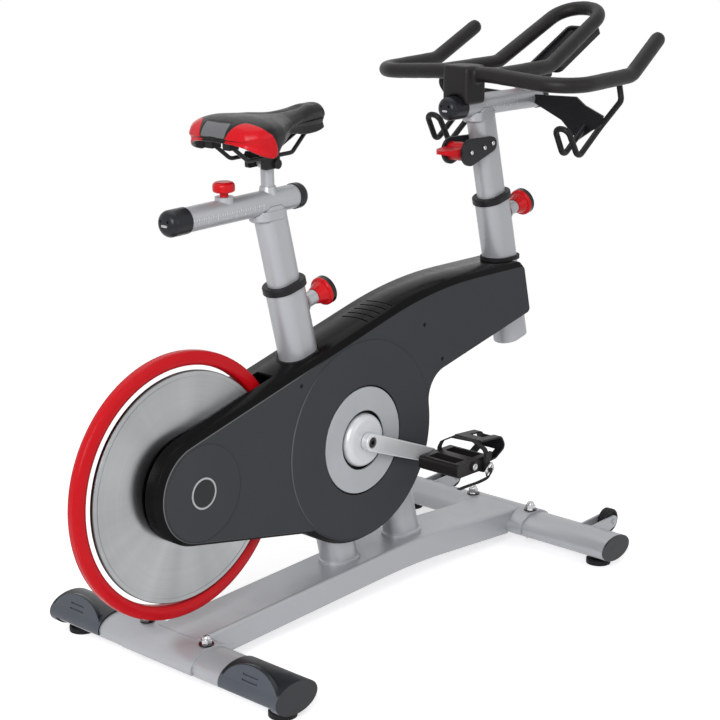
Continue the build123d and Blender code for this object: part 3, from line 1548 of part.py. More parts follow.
def make_console_tray():
    """Sloping tray under the loop with a raised rim, on a neck from the slider."""
    half = tray_width / 2
    plate = block(0, tray_length, -half, half, 0, tray_thickness)
    plate = fillet(plate.edges().filter_by(Axis.Z), 10)
    well = block(6, tray_length - 6, -half + 6, half - 6, tray_thickness - 4, tray_thickness + 1)
    plate -= fillet(well.edges().filter_by(Axis.Z), 6)
    tray = tray_frame() * plate
    x = bar_slider_x() + bar_slider_front - 12
    neck_half = tray_neck_width / 2
    floor_z = bar_slider_height + 8
    neck = block(x - tray_neck_length / 2, x + 8, -neck_half, neck_half, floor_z, tray_height + 4)
    foot = block(x, x + tray_neck_length, -neck_half, neck_half, tray_height - 28, tray_height + 30)
    under = tray_frame() * block(-far, far, -half, half, -8, 0)
    neck += foot & under
    neck -= rod_x(0, bar_slider_height, slider_radius, 0, far)
    neck -= make_bar_slider_caps()
    return tray + neck


def holder_right():
    """Bottle hook on the right: an arm from the slider and a bent rod up to the bar."""
    x = bar_slider_x() + holder_reach
    low = bar_slider_height - holder_drop
    knee = bar_slider_height - holder_knee_drop
    outer = holder_spread + holder_pitch / 2
    inner = holder_spread - holder_pitch / 2
    hook_x = x - holder_back
    under_bar = bar_height - bar_droop - bar_radius + 6
    wire = [
        (x, -outer - 38, under_bar), (x, -outer - 44, knee + 52), (x, -outer, knee),
        (hook_x, -outer, low), (hook_x - 31, -outer + 2, low + 54),
        (hook_x - 31, -inner - 2, low + 54), (hook_x, -inner, low), (x, -inner, knee),
    ]
    rod = bent_rod(wire, [14, 20, 12, 14, 14, 12], holder_rod_radius)
    side = slider_radius - 4
    top = bar_slider_height + slider_radius
    outline = [
        (-side, top - 13), (-side, bar_slider_height - 8), (-inner + 53, knee + 6),
        (-inner + 15, knee - 28), (-holder_spread, knee - 7), (-outer, knee),
        (-outer - 6, knee + 21), (-inner + 2, knee + 37), (-inner + 22, top - 10),
    ]
    plane = Plane(origin=(x + holder_plate / 2, 0, 0), x_dir=(0, 1, 0), z_dir=(1, 0, 0))
    arm = extrude(plane * make_face(Polyline(*outline, close=True)), amount=-holder_plate)
    holder = rod + arm
    holder -= make_main_bar()
    return holder - rod_x(0, bar_slider_height, slider_radius, 0, far)


def make_bottle_holders():
    right = holder_right()
    return right + mirrored(right)


# ---------------------------------------------------------------- resistance lever and brake
def lever_x():
    return axis_point_at(head_axis_x, head_lean, lever_pivot_height) - lever_pivot_back


def make_lever_bracket():
    """Two cheeks riveted to the post, with the lever's pin between them."""
    x = lever_x()
    z = lever_pivot_height
    front_x = x + 74
    outline = round_hull(x, z, lever_cheek_radius, front_x - 14, z + 9, 14)
    parts = Part()
    inner = post_width / 2
    reach = inner + bracket_plate
    for side in (-1, 1):
        y_left = max(side * inner, side * reach)
        plate = side_plate(outline, y_left, y_left - bracket_plate)
        rim = plate.edges().filter_by(lambda e: abs(e.center().Y - side * reach) < 0.01)
        parts += fillet(rim, 1.2)
        for rx, rz in ((x, z), (x + 37, z + 5), (x + 61, z + 11)):
            tip = side * (reach + rivet_height)
            base = side * (reach - 3)
            parts += rod_y(rx, rz, rivet_radius, min(tip, base), max(tip, base))
    parts += rod_y(x, z, lever_pin_radius, -inner - 1, inner + 1)
    return parts


def make_brake_lever():
    """Paddle lever on its hub, pointing back towards the rider."""
    x = lever_x()
    z = lever_pivot_height
    half = post_width / 2 - gap
    hub = rod_y(x, z, lever_hub_radius, -half, half)
    tip_x = x - lever_reach + 7
    side = round_hull(x, z, 11, tip_x, z + 3, lever_tip_thickness / 2)
    paddle = side_plate(side, half, -half)
    nose = Pos(tip_x + 18, 0, 0) * Circle(half)
    plan = nose + Pos(tip_x + 18 + 30, 0) * Rectangle(60, 2 * half)
    paddle &= extrude(plan, amount=2 * lever_pivot_height)
    return hub + paddle - rod_y(x, z, lever_pin_radius + slip, -far, far)


def make_magnet_caliper():
    """Yoke over the flywheel's edge with two pairs of magnets."""
    cx, cz = caliper_point()
    reach = hypot(caliper_pivot_x, caliper_pivot_z)
    ux = -caliper_pivot_x / reach
    uz = -caliper_pivot_z / reach
    mx = cx + ux * magnet_reach
    mz = cz + uz * magnet_reach
    plate = round_hull(cx, cz, 10, mx, mz, 22)
    face_right = -flywheel_offset - flywheel_thickness / 2
    face_left = face_right + flywheel_thickness
    right0 = face_right - caliper_gap
    left0 = face_left + caliper_gap
    yoke = side_plate(plate, right0, right0 - caliper_plate)
    yoke += side_plate(plate, left0 + caliper_plate, left0)
    yoke += rod_y(cx, cz, 10, right0 - caliper_plate, left0 + caliper_plate)
    arm = round_hull(cx, cz, 8, cx + 14, cz + 30, 5)
    yoke += side_plate(arm, left0 + caliper_plate, left0)
    for k in (-0.5, 0.5):
        px = mx - uz * k * magnet_pitch * 1.1
        pz = mz + ux * k * magnet_pitch * 1.1
        yoke += rod_y(px, pz, magnet_radius, right0, right0 + magnet_height)
        yoke += rod_y(px, pz, magnet_radius, left0 - magnet_height, left0)
    return yoke - rod_y(cx, cz, caliper_pin_radius + slip, -far, far)


def make_brake_cable():
    """Housing that runs beside the spine from the head tube to the seat tube."""
    y = tube_width / 2 + cable_radius + 1
    start_x = axis_point_at(head_axis_x, head_lean, 470) - 10
    end_x = axis_point_at(seat_axis_x, seat_lean, 392) + 12
    wall = tube_width / 2
    points = [
        (start_x, wall, 470), (start_x, wall + 14, 470), (start_x - 40, y + 8, 462),
        (end_x + 40, y + 8, 400), (end_x, wall + 14, 392), (end_x, wall, 392),
    ]
    return bent_rod(points, [5, 12, 12, 5], cable_radius)


# ---------------------------------------------------------------- the parts, one file each
def make_parts():
    wheel_sides = {"right": -1, "left": 1}
    parts = {
        "base_beam": make_base_beam(),
        "rear_stabiliser": make_rear_stabiliser(),
        "front_stabiliser": make_front_stabiliser(),
        "stabiliser_brackets": make_stabiliser_brackets(),
        "acorn_nuts": make_acorn_nuts(),
        "end_covers": make_end_covers(),
        "seat_tube": make_seat_tube(),
        "head_tube": make_head_tube(),
        "front_strut": make_front_strut(),
        "inner_frame": make_inner_frame(),
        "bearings": make_bearings(),
        "tube_collars": make_tube_collars(),
        "tube_gaskets": make_tube_gaskets(),
        "crank_rings": make_crank_rings(),
        "side_badges": make_side_badges(),
        "shroud_screws": make_shroud_screws(),
        "flywheel_guard": make_flywheel_guard(),
        "drive_belt": make_drive_belt(),
        "brake_cable": make_brake_cable(),
        "flywheel_disc": make_flywheel_disc(),
        "flywheel_axle": make_flywheel_axle(),
        "magnet_caliper": make_magnet_caliper(),
        "crank_spindle": make_crank_spindle(),
        "crank_pulley": make_crank_pulley(),
        "hub_covers": make_hub_covers(),
        "seat_post": make_seat_post(),
        "seat_slider_tube": make_seat_slider_tube(),
        "seat_slider_caps": make_seat_slider_caps(),
        "saddle_cushion": make_saddle_cushion(),
        "saddle_base": make_saddle_base(),
        "saddle_rails": make_saddle_rails(),
        "handlebar_post": make_handlebar_post(),
        "lever_bracket": make_lever_bracket(),
        "brake_lever": make_brake_lever(),
        "bar_slider_tube": make_bar_slider_tube(),
        "bar_slider_caps": make_bar_slider_caps(),
        "handlebar": make_handlebar(),
        "stem_block": make_stem_block(),
        "console_tray": make_console_tray(),
        "bottle_holders": make_bottle_holders(),
        "seat_height_knob": make_pull_knob(seat_axis_x, seat_lean, seat_knob_along),
        "head_height_knob": make_pull_knob(head_axis_x, head_lean, head_knob_along),
    }
    seat_button_x = seat_slider_x() - seat_button_back
    button = make_button_knob(seat_button_x, seat_slider_height)
    parts["saddle_fore_knob"] = seat_slide_frame() * button
    bar_button_x = bar_slider_x() + bar_button_front
    parts["bar_fore_knob"] = make_button_knob(bar_button_x, bar_slider_height)
    shroud = make_shroud_cover()
    vents = vent_slots()
    parts["shroud_right"] = shroud - vents
    parts["shroud_left"] = mirrored(shroud) - vents
    for name, side in wheel_sides.items():
        parts[f"crank_arm_{name}"] = make_crank_arm(side)
        parts[f"pedal_{name}"] = make_pedal(side)
        parts[f"toe_cage_{name}"] = make_toe_cage(side)
        parts[f"toe_strap_{name}"] = make_toe_strap(side)
        parts[f"transport_wheel_{name}"] = make_transport_wheel(side)
        rear_y = side * foot_spacing_rear / 2
        front_y = side * foot_spacing_front / 2
        parts[f"foot_rear_{name}"] = make_foot(rear_tube_x, rear_y)
        parts[f"foot_front_{name}"] = make_foot(front_tube_x, front_y)
    return parts


if __name__ == "__main__":
    os.makedirs("parts", exist_ok=True)
    for part_name, part in make_parts().items():
        part.label = part_name
        export_step(part, f"parts/{part_name}.step")
        print(part_name, len(part.solids()), round(part.volume / 1000, 1))
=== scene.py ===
import bpy
import bmesh
import json
import math
import numpy as np
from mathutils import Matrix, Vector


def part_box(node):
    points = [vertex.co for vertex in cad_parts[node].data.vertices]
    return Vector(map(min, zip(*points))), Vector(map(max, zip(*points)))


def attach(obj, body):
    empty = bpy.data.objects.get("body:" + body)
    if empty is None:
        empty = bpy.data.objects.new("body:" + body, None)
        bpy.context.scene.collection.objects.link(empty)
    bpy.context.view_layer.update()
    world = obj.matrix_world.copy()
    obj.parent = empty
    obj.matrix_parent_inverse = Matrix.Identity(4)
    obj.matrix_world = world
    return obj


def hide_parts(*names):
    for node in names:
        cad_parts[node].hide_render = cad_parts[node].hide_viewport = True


# Indoor spin bike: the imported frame, dressed with its finishes and its soft and moulded pieces.
# Metres; +X forward, +Y the rider's left, +Z up.

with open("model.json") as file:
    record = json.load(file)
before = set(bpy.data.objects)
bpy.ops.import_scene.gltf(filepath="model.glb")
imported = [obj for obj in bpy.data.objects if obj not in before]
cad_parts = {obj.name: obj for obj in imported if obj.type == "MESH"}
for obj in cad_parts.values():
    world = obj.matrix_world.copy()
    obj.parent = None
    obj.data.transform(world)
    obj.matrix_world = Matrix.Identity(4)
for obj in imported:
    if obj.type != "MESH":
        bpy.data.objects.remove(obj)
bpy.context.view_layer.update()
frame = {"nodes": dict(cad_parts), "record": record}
nodes = frame["nodes"]
joints = {joint["child"]: joint for joint in frame["record"]["behaviour"]["joints"]}
sides = {"right": -1, "left": 1}
print("frame loaded:", len(nodes), "nodes")


def addObject(name, data):
    # a new object, linked into the scene
    made = bpy.data.objects.new(name, data)
    bpy.context.scene.collection.objects.link(made)
    return made


# camera
view = {"place": (-2.2386, -2.0333, 1.2505), "tilt": 74.91, "heading": -47.69, "lens": 89.43, "reach": 60}
cameraData = bpy.data.cameras.new("camera")
cameraData.lens = view["lens"]
cameraData.clip_end = view["reach"]
camera = addObject("camera", cameraData)
camera.location = view["place"]
camera.rotation_euler = (math.radians(view["tilt"]), 0, math.radians(view["heading"]))
bpy.context.scene.camera = camera


# shader tree helpers
def addNode(tree, kind, **settings):
    # a node with its properties set; "at" holds the values or links of its inputs
    node = tree.nodes.new("ShaderNode" + kind)
    inputs = settings.pop("at", {})
    for key, value in settings.items():
        setattr(node, key, value)
    for key, value in inputs.items():
        if isinstance(value, bpy.types.NodeSocket):
            tree.links.new(value, node.inputs[key])
        else:
            node.inputs[key].default_value = value
    return node


def sums(tree, operation, *values, clamp=False):
    # one arithmetic step on numbers or sockets
    node = addNode(tree, "Math", operation=operation, use_clamp=clamp, at=dict(enumerate(values)))
    return node.outputs[0]


def blendColour(tree, amount, first, second):
    # first where amount is 0, second where it is 1
    node = addNode(tree, "Mix", data_type="RGBA", at={0: amount, 6: first, 7: second})
    return node.outputs[2]


def step(tree, value, low, high):
    # 0 below low, 1 above high, smooth between them
    node = addNode(tree, "MapRange", interpolation_type="SMOOTHSTEP",
                   at={"Value": value, "From Min": low, "From Max": high})
    return node.outputs[0]


def scaled(tree, value, factor, offset):
    # value times factor, plus offset
    return sums(tree, "ADD", sums(tree, "MULTIPLY", value, factor), offset)


def opposite(tree, mask):
    # 1 less the mask
    return sums(tree, "SUBTRACT", 1.0, mask)


def ridge(tree, value, rise, fall):
    # 1 from the end of rise to the start of fall, and 0 outside them
    return sums(tree, "MULTIPLY", step(tree, value, *rise), opposite(tree, step(tree, value, *fall)))


def noise(tree, place, scale, detail, rough=0.5):
    # a noise texture's value
    return addNode(tree, "TexNoise", at={"Vector": place, "Scale": scale, "Detail": detail,
                                         "Roughness": rough}).outputs["Fac"]


def vector(tree, *parts):
    # a vector from its parts
    return addNode(tree, "CombineXYZ", at=dict(enumerate(parts))).outputs[0]


def roundedEdge(tree, radius):
    # the normal, with sharp edges rounded off at a radius
    return addNode(tree, "Bevel", samples=4, at={"Radius": radius}).outputs[0]


def bumped(tree, strength, distance, height, normal=None):
    # the normal tipped by a height, over another normal where one is given
    under = {"Normal": normal} if normal else {}
    node = addNode(tree, "Bump", at={"Strength": strength, "Distance": distance, "Height": height, **under})
    return node.outputs[0]


def feed(tree, node, **values):
    # each value goes to the node's input of that name, with _ for a space
    for label, value in values.items():
        tree.links.new(value, node.inputs[label.replace("_", " ")])


def newGroup(name, numbers, outputs):
    # an empty shader group with number inputs, a vector input and named outputs
    group = bpy.data.node_groups.new(name, "ShaderNodeTree")
    group.interface.new_socket("Place", in_out="INPUT", socket_type="NodeSocketVector")
    for label, value in numbers.items():
        socket = group.interface.new_socket(label, in_out="INPUT", socket_type="NodeSocketFloat")
        socket.default_value = value
    for label in outputs:
        group.interface.new_socket(label, in_out="OUTPUT", socket_type="NodeSocketFloat")
    return group, group.nodes.new("NodeGroupInput").outputs, group.nodes.new("NodeGroupOutput")


def makeMottle():
    # slow uneven tone, smudges and a fine tooth: Shade near 1, Smudge 0 to 1, Tooth as a height
    group, given, result = newGroup("mottle", {"Patch": 9.0, "Tooth Size": 900.0, "Strength": 0.06},
                                    ("Shade", "Smudge", "Tooth"))
    slow = noise(group, given["Place"], given["Patch"], 4.0, 0.6)
    spread = sums(group, "MULTIPLY", sums(group, "SUBTRACT", slow, 0.5), given["Strength"])
    streak = noise(group, given["Place"], sums(group, "MULTIPLY", given["Patch"], 3.7), 6.0, 0.7)
    feed(group, result, Shade=scaled(group, spread, 4.0, 1.0), Smudge=step(group, streak, 0.42, 0.72),
         Tooth=noise(group, given["Place"], given["Tooth Size"], 2.0))
    return group


def makeTurning():
    # circular brushing about the Y axis through a centre, worked out from the radius and the angle of each
    # point: Groove as a height, Band as slow rings, Wedge as painted reflection, a slow change of tone round
    # the circle in place of the light and dark wedges that brushed metal reflects
    group, given, result = newGroup("turning", {"Centre X": 0.0, "Centre Z": 0.0, "Grooves": 900.0},
                                    ("Groove", "Band", "Radius", "Wedge"))
    parts = addNode(group, "SeparateXYZ", at={0: given["Place"]}).outputs
    across = sums(group, "SUBTRACT", parts["X"], given["Centre X"])
    up = sums(group, "SUBTRACT", parts["Z"], given["Centre Z"])
    radius = sums(group, "SQRT", sums(group, "ADD", sums(group, "MULTIPLY", across, across),
                                      sums(group, "MULTIPLY", up, up)))
    angle = sums(group, "ARCTAN2", up, across)
    cosine, sine = sums(group, "COSINE", angle), sums(group, "SINE", angle)
    ring = vector(group, sums(group, "MULTIPLY", radius, given["Grooves"]),
                  sums(group, "MULTIPLY", cosine, 1.5), sums(group, "MULTIPLY", sine, 1.5))
    slow = vector(group, sums(group, "MULTIPLY", radius, 60.0))
    # painted reflection: tone that changes slowly round the circle, standing in for brushed metal's reflected
    # wedges
    reflectionWedge = noise(group, vector(group, cosine, sine), 1.6, 3.0)
    feed(group, result, Groove=noise(group, ring, 1.0, 3.0), Band=noise(group, slow, 1.0, 2.0), Radius=radius,
         Wedge=sums(group, "SUBTRACT", reflectionWedge, 0.5))
    return group


def makeWeave():
    # plain weave: the product of two crossed sine waves of the place's first two numbers
    group, given, result = newGroup("weave", {"Threads": 700.0}, ("Height", "Shade"))
    parts = addNode(group, "SeparateXYZ", at={0: given["Place"]}).outputs
    across = sums(group, "SINE", sums(group, "MULTIPLY", parts["X"], given["Threads"]))
    along = sums(group, "SINE", sums(group, "MULTIPLY", parts["Y"], given["Threads"]))
    crossed = sums(group, "MULTIPLY", across, along)
    feed(group, result, Height=crossed, Shade=scaled(group, crossed, 0.2, 0.9))
    return group


def makeLeatherGrain():
    # leather pebbles: Pebble falls to the creases between cells, Crease marks them
    group, given, result = newGroup("leatherGrain", {"Cells": 700.0}, ("Pebble", "Crease"))
    wobble = addNode(group, "TexNoise", at={"Vector": given["Place"], "Scale": 120.0, "Detail": 2.0})
    shift = addNode(group, "VectorMath", operation="SCALE", at={0: wobble.outputs["Color"], "Scale": 0.004})
    place = addNode(group, "VectorMath", operation="ADD", at={0: given["Place"], 1: shift.outputs[0]})
    cells = addNode(group, "TexVoronoi", feature="DISTANCE_TO_EDGE",
                    at={"Vector": place.outputs[0], "Scale": given["Cells"]})
    rounded = step(group, cells.outputs["Distance"], 0.0, 0.35)
    feed(group, result, Pebble=rounded, Crease=opposite(group, rounded))
    return group


mottle, turning, weave, leatherGrain = makeMottle(), makeTurning(), makeWeave(), makeLeatherGrain()


def useGroup(tree, group, place, **values):
    # the outputs of the group as a node in this tree, with its place and its own numbers
    node = tree.nodes.new("ShaderNodeGroup")
    node.node_tree = group
    tree.links.new(place, node.inputs["Place"])
    for label, value in values.items():
        node.inputs[label.replace("_", " ")].default_value = value
    return node.outputs


def startMaterial(name, settings):
    # a Principled material with its constants set on the shader's own sockets
    material = bpy.data.materials.new(name)
    material.use_nodes = True
    tree = material.node_tree
    shader = tree.nodes["Principled BSDF"]
    shader.inputs["Metallic"].default_value = settings.get("metal", 0.0)
    shader.inputs["Roughness"].default_value = settings.get("rough", 0.5)
    shader.inputs["IOR"].default_value = settings.get("ior", 1.5)
    shader.inputs["Specular IOR Level"].default_value = settings.get("shine", 0.5)
    return material, tree, shader, addNode(tree, "TexCoord").outputs["Object"]


def shaded(tree, colour, *factors):
    # a colour times each of the factors
    value = addNode(tree, "RGB")
    value.outputs[0].default_value = (*colour, 1)
    result = value.outputs[0]
    for factor in factors:
        result = addNode(tree, "VectorMath", operation="SCALE", at={0: result, "Scale": factor}).outputs[0]
    return result


def paintedMetal(name, settings):
    # sprayed metal: fine flake, a faint orange peel, and smudges that dull it
    material, tree, shader, place = startMaterial(name, settings)
    tone = useGroup(tree, mottle, place, Patch=6.0, Tooth_Size=1500.0, Strength=0.03)
    flake = addNode(tree, "TexVoronoi", at={"Vector": place, "Scale": 2600.0}).outputs["Distance"]
    sparkle = scaled(tree, flake, settings.get("flake", 0.1), 0.95)
    peel = noise(tree, place, 380.0, 1.0)
    feed(tree, shader, Base_Color=shaded(tree, settings["colour"], tone["Shade"], sparkle),
         Roughness=scaled(tree, tone["Smudge"], 0.07, settings["rough"]),
         Normal=bumped(tree, 0.12, 0.0003, peel, roundedEdge(tree, 0.0012)))
    return material


def mouldedPlastic(name, settings):
    # moulded part: fine tooth, uneven tone, smudges that dull it, and on a two-part moulding a second colour
    # past a distance along its axis
    material, tree, shader, place = startMaterial(name, settings)
    tone = useGroup(tree, mottle, place, Patch=14.0, Tooth_Size=settings.get("tooth", 1400.0),
                    Strength=settings.get("uneven", 0.06))
    colour = shaded(tree, settings["colour"], tone["Shade"])
    if "axis" in settings:
        along = addNode(tree, "VectorMath", operation="DOT_PRODUCT", at={0: place, 1: settings["axis"]})
        past = step(tree, along.outputs["Value"], settings["from"], settings["from"] + 0.0003)
        colour = blendColour(tree, past, colour, (*settings["rimColour"], 1))
    edge = roundedEdge(tree, settings.get("edge", 0.0008))
    feed(tree, shader, Base_Color=colour, Roughness=scaled(tree, tone["Smudge"], 0.08, settings["rough"]),
         Normal=bumped(tree, settings.get("grain", 0.3), 0.0002, tone["Tooth"], edge))
    return material


def turnedSteel(name, settings):
    # metal brushed round a centre, with rings of tone, wedges of painted reflection and a second colour
    # outside its rim radius
    material, tree, shader, place = startMaterial(name, settings)
    rings = useGroup(tree, turning, place, Centre_X=settings["centre"][0], Centre_Z=settings["centre"][1],
                     Grooves=settings.get("grooves", 1500.0))
    # the last factor is painted reflection: light and dark wedges round the centre
    colour = shaded(tree, settings["colour"], scaled(tree, rings["Band"], 0.12, 0.94),
                    scaled(tree, rings["Groove"], 0.25, 0.87),
                    scaled(tree, rings["Wedge"], settings.get("reflectionWedge", 0.0), 1.0))
    if "rim" in settings:
        outside = step(tree, rings["Radius"], settings["rim"], settings["rim"] + 0.0012)
        colour = blendColour(tree, outside, colour, (*settings["rimColour"], 1))
    feed(tree, shader, Base_Color=colour, Roughness=scaled(tree, rings["Groove"], 0.16, settings["rough"]),
         Normal=bumped(tree, 0.1, 0.0001, rings["Groove"]))
    if "stretch" in settings:
        # the brushing's direction: the axle's direction crossed with the way out from the centre
        shader.inputs["Anisotropic"].default_value = settings["stretch"]
        centre = (settings["centre"][0], 0, settings["centre"][1])
        out = addNode(tree, "VectorMath", operation="SUBTRACT", at={0: place, 1: centre})
        lay = addNode(tree, "VectorMath", operation="CROSS_PRODUCT", at={0: (0, 1, 0), 1: out.outputs[0]})
        feed(tree, shader, Tangent=lay.outputs[0])
    return material


def shroudPlastic(name, settings):
    # matt grained sides and a glossy dark band over the edge, split by the distance from the middle plane;
    # the band is crowned, and along its edge and the raised round's edge a pale painted highlight is laid
    # towards the rear
    material, tree, shader, place = startMaterial(name, settings)
    tone = useGroup(tree, mottle, place, Patch=7.0, Tooth_Size=1100.0, Strength=0.04)
    parts = addNode(tree, "SeparateXYZ", at={0: place}).outputs
    across = sums(tree, "ABSOLUTE", parts["Y"])
    side = step(tree, across, *settings["bandEdge"])
    level = addNode(tree, "VectorMath", operation="MULTIPLY", at={0: place, 1: (1, 0, 1)}).outputs[0]
    centre = (settings["centre"][0], 0, settings["centre"][1])
    out = addNode(tree, "VectorMath", operation="DISTANCE", at={0: level, 1: centre}).outputs["Value"]
    # painted highlight: pale lines on the band's edge and on the raised round's edge, only towards the rear
    paintedHighlight = sums(tree, "ADD", ridge(tree, across, settings["bandHighlight"], settings["bandEdge"]),
                sums(tree, "MULTIPLY", ridge(tree, out, *settings["roundHighlight"]), side), clamp=True)
    paintedHighlight = sums(tree, "MULTIPLY", paintedHighlight, opposite(tree, step(tree, parts["X"], *settings["highlightEnd"])))
    split = blendColour(tree, side, shaded(tree, settings["bandColour"], tone["Shade"]),
                        shaded(tree, settings["colour"], tone["Shade"]))
    matt = scaled(tree, tone["Smudge"], 0.07, settings["rough"])
    gloss = sums(tree, "MULTIPLY", opposite(tree, side), settings["rough"] - settings["bandRough"])
    dome = sums(tree, "MULTIPLY", sums(tree, "MULTIPLY", across, across), -settings["crown"])
    crown = bumped(tree, 1.0, 1.0, dome, roundedEdge(tree, 0.0015))
    tooth = sums(tree, "MULTIPLY", tone["Tooth"], side)
    feed(tree, shader, Base_Color=blendColour(tree, paintedHighlight, split, (*settings["highlightColour"], 1)),
         Roughness=sums(tree, "SUBTRACT", matt, gloss), Normal=bumped(tree, 0.35, 0.0002, tooth, crown))
    return material


def nutSteel(name, settings):
    # bright domed nut on a dark washer, told apart by height, with fine machining rings
    material, tree, shader, place = startMaterial(name, settings)
    tone = useGroup(tree, mottle, place, Patch=60.0, Tooth_Size=2500.0, Strength=0.08)
    height = addNode(tree, "SeparateXYZ", at={0: place}).outputs["Z"]
    above = step(tree, height, settings["washer"] - 0.0002, settings["washer"] + 0.0002)
    bright = shaded(tree, settings["colour"], tone["Shade"])
    ring = sums(tree, "SINE", sums(tree, "MULTIPLY", height, 9000.0))
    feed(tree, shader, Base_Color=blendColour(tree, above, (*settings["washerColour"], 1), bright),
         Roughness=scaled(tree, tone["Smudge"], 0.12, settings["rough"]),
         Normal=bumped(tree, 0.05, 0.00005, ring))
    return material


def coverPlastic(name, settings):
    # near-black moulding whose wing faces, turned towards the machine's ends, are a lighter slate
    material, tree, shader, place = startMaterial(name, settings)
    tone = useGroup(tree, mottle, place, Patch=14.0, Tooth_Size=1200.0, Strength=0.06)
    facing = addNode(tree, "SeparateXYZ", at={0: addNode(tree, "NewGeometry").outputs["True Normal"]})
    wing = step(tree, sums(tree, "ABSOLUTE", facing.outputs["X"]), 0.62, 0.72)
    colour = blendColour(tree, wing, shaded(tree, settings["colour"], tone["Shade"]),
                         shaded(tree, settings["wing"], tone["Shade"]))
    feed(tree, shader, Base_Color=colour, Roughness=scaled(tree, tone["Smudge"], 0.1, settings["rough"]),
         Normal=bumped(tree, 0.2, 0.0002, tone["Tooth"], roundedEdge(tree, 0.001)))
    return material


def webbing(name, settings):
    # woven strap: crossed threads on the place along and across the pedal
    material, tree, shader, place = startMaterial(name, settings)
    threads = useGroup(tree, weave, place, Threads=settings["threads"])
    tone = useGroup(tree, mottle, place, Patch=40.0, Tooth_Size=2500.0, Strength=0.08)
    feed(tree, shader, Base_Color=shaded(tree, settings["colour"], threads["Shade"], tone["Shade"]),
         Normal=bumped(tree, 0.5, 0.0003, threads["Height"]))
    return material


def leather(name, settings):
    # pebbled cover; the distances in panelEdge and sheenPadEdge, above 0 inside, mark the glossy side panels
    # and the satin pad at the back, whose grey is a painted sheen on the black cover, each with a sewn crease
    # round it
    material, tree, shader, place = startMaterial(name, settings)
    grain = useGroup(tree, leatherGrain, place, Cells=settings["cells"])
    tone = useGroup(tree, mottle, place, Patch=18.0, Tooth_Size=2000.0, Strength=0.06)
    crease = opposite(tree, sums(tree, "MULTIPLY", grain["Crease"], 0.25))
    colour = shaded(tree, settings["colour"], tone["Shade"], crease)
    seams, inside = [], []
    for label in ("panelEdge", "sheenPadEdge"):
        edge = addNode(tree, "Attribute", attribute_name=label).outputs["Fac"]
        inside.append(step(tree, edge, 0.0, 0.0006))
        seams.append(opposite(tree, step(tree, sums(tree, "ABSOLUTE", edge), 0.0004, 0.0016)))
    # the panels take red, and the pad takes a grey that is painted sheen
    for mask, key in zip(inside, ("panel", "sheenPad")):
        colour = blendColour(tree, mask, colour, shaded(tree, settings[key], tone["Shade"]))
    seam = sums(tree, "MAXIMUM", *seams)
    rough = scaled(tree, tone["Smudge"], 0.1, settings["rough"])
    pebble = sums(tree, "MULTIPLY", grain["Pebble"], opposite(tree, inside[0]))
    sunk = sums(tree, "SUBTRACT", sums(tree, "MULTIPLY", pebble, 0.3), sums(tree, "MULTIPLY", seam, 3.0))
    feed(tree, shader,
         Base_Color=blendColour(tree, sums(tree, "MULTIPLY", seam, 0.85), colour, (*settings["seam"], 1)),
         Roughness=sums(tree, "SUBTRACT", rough, sums(tree, "MULTIPLY", inside[0], 0.08)),
         Normal=bumped(tree, 0.4, 0.0003, sunk))
    return material


def hingeCentre(child):
    # where a hinge's line crosses the middle plane, as (forward, up)
    spot = joints[child]["pos_m"]
    return spot[0], spot[2]


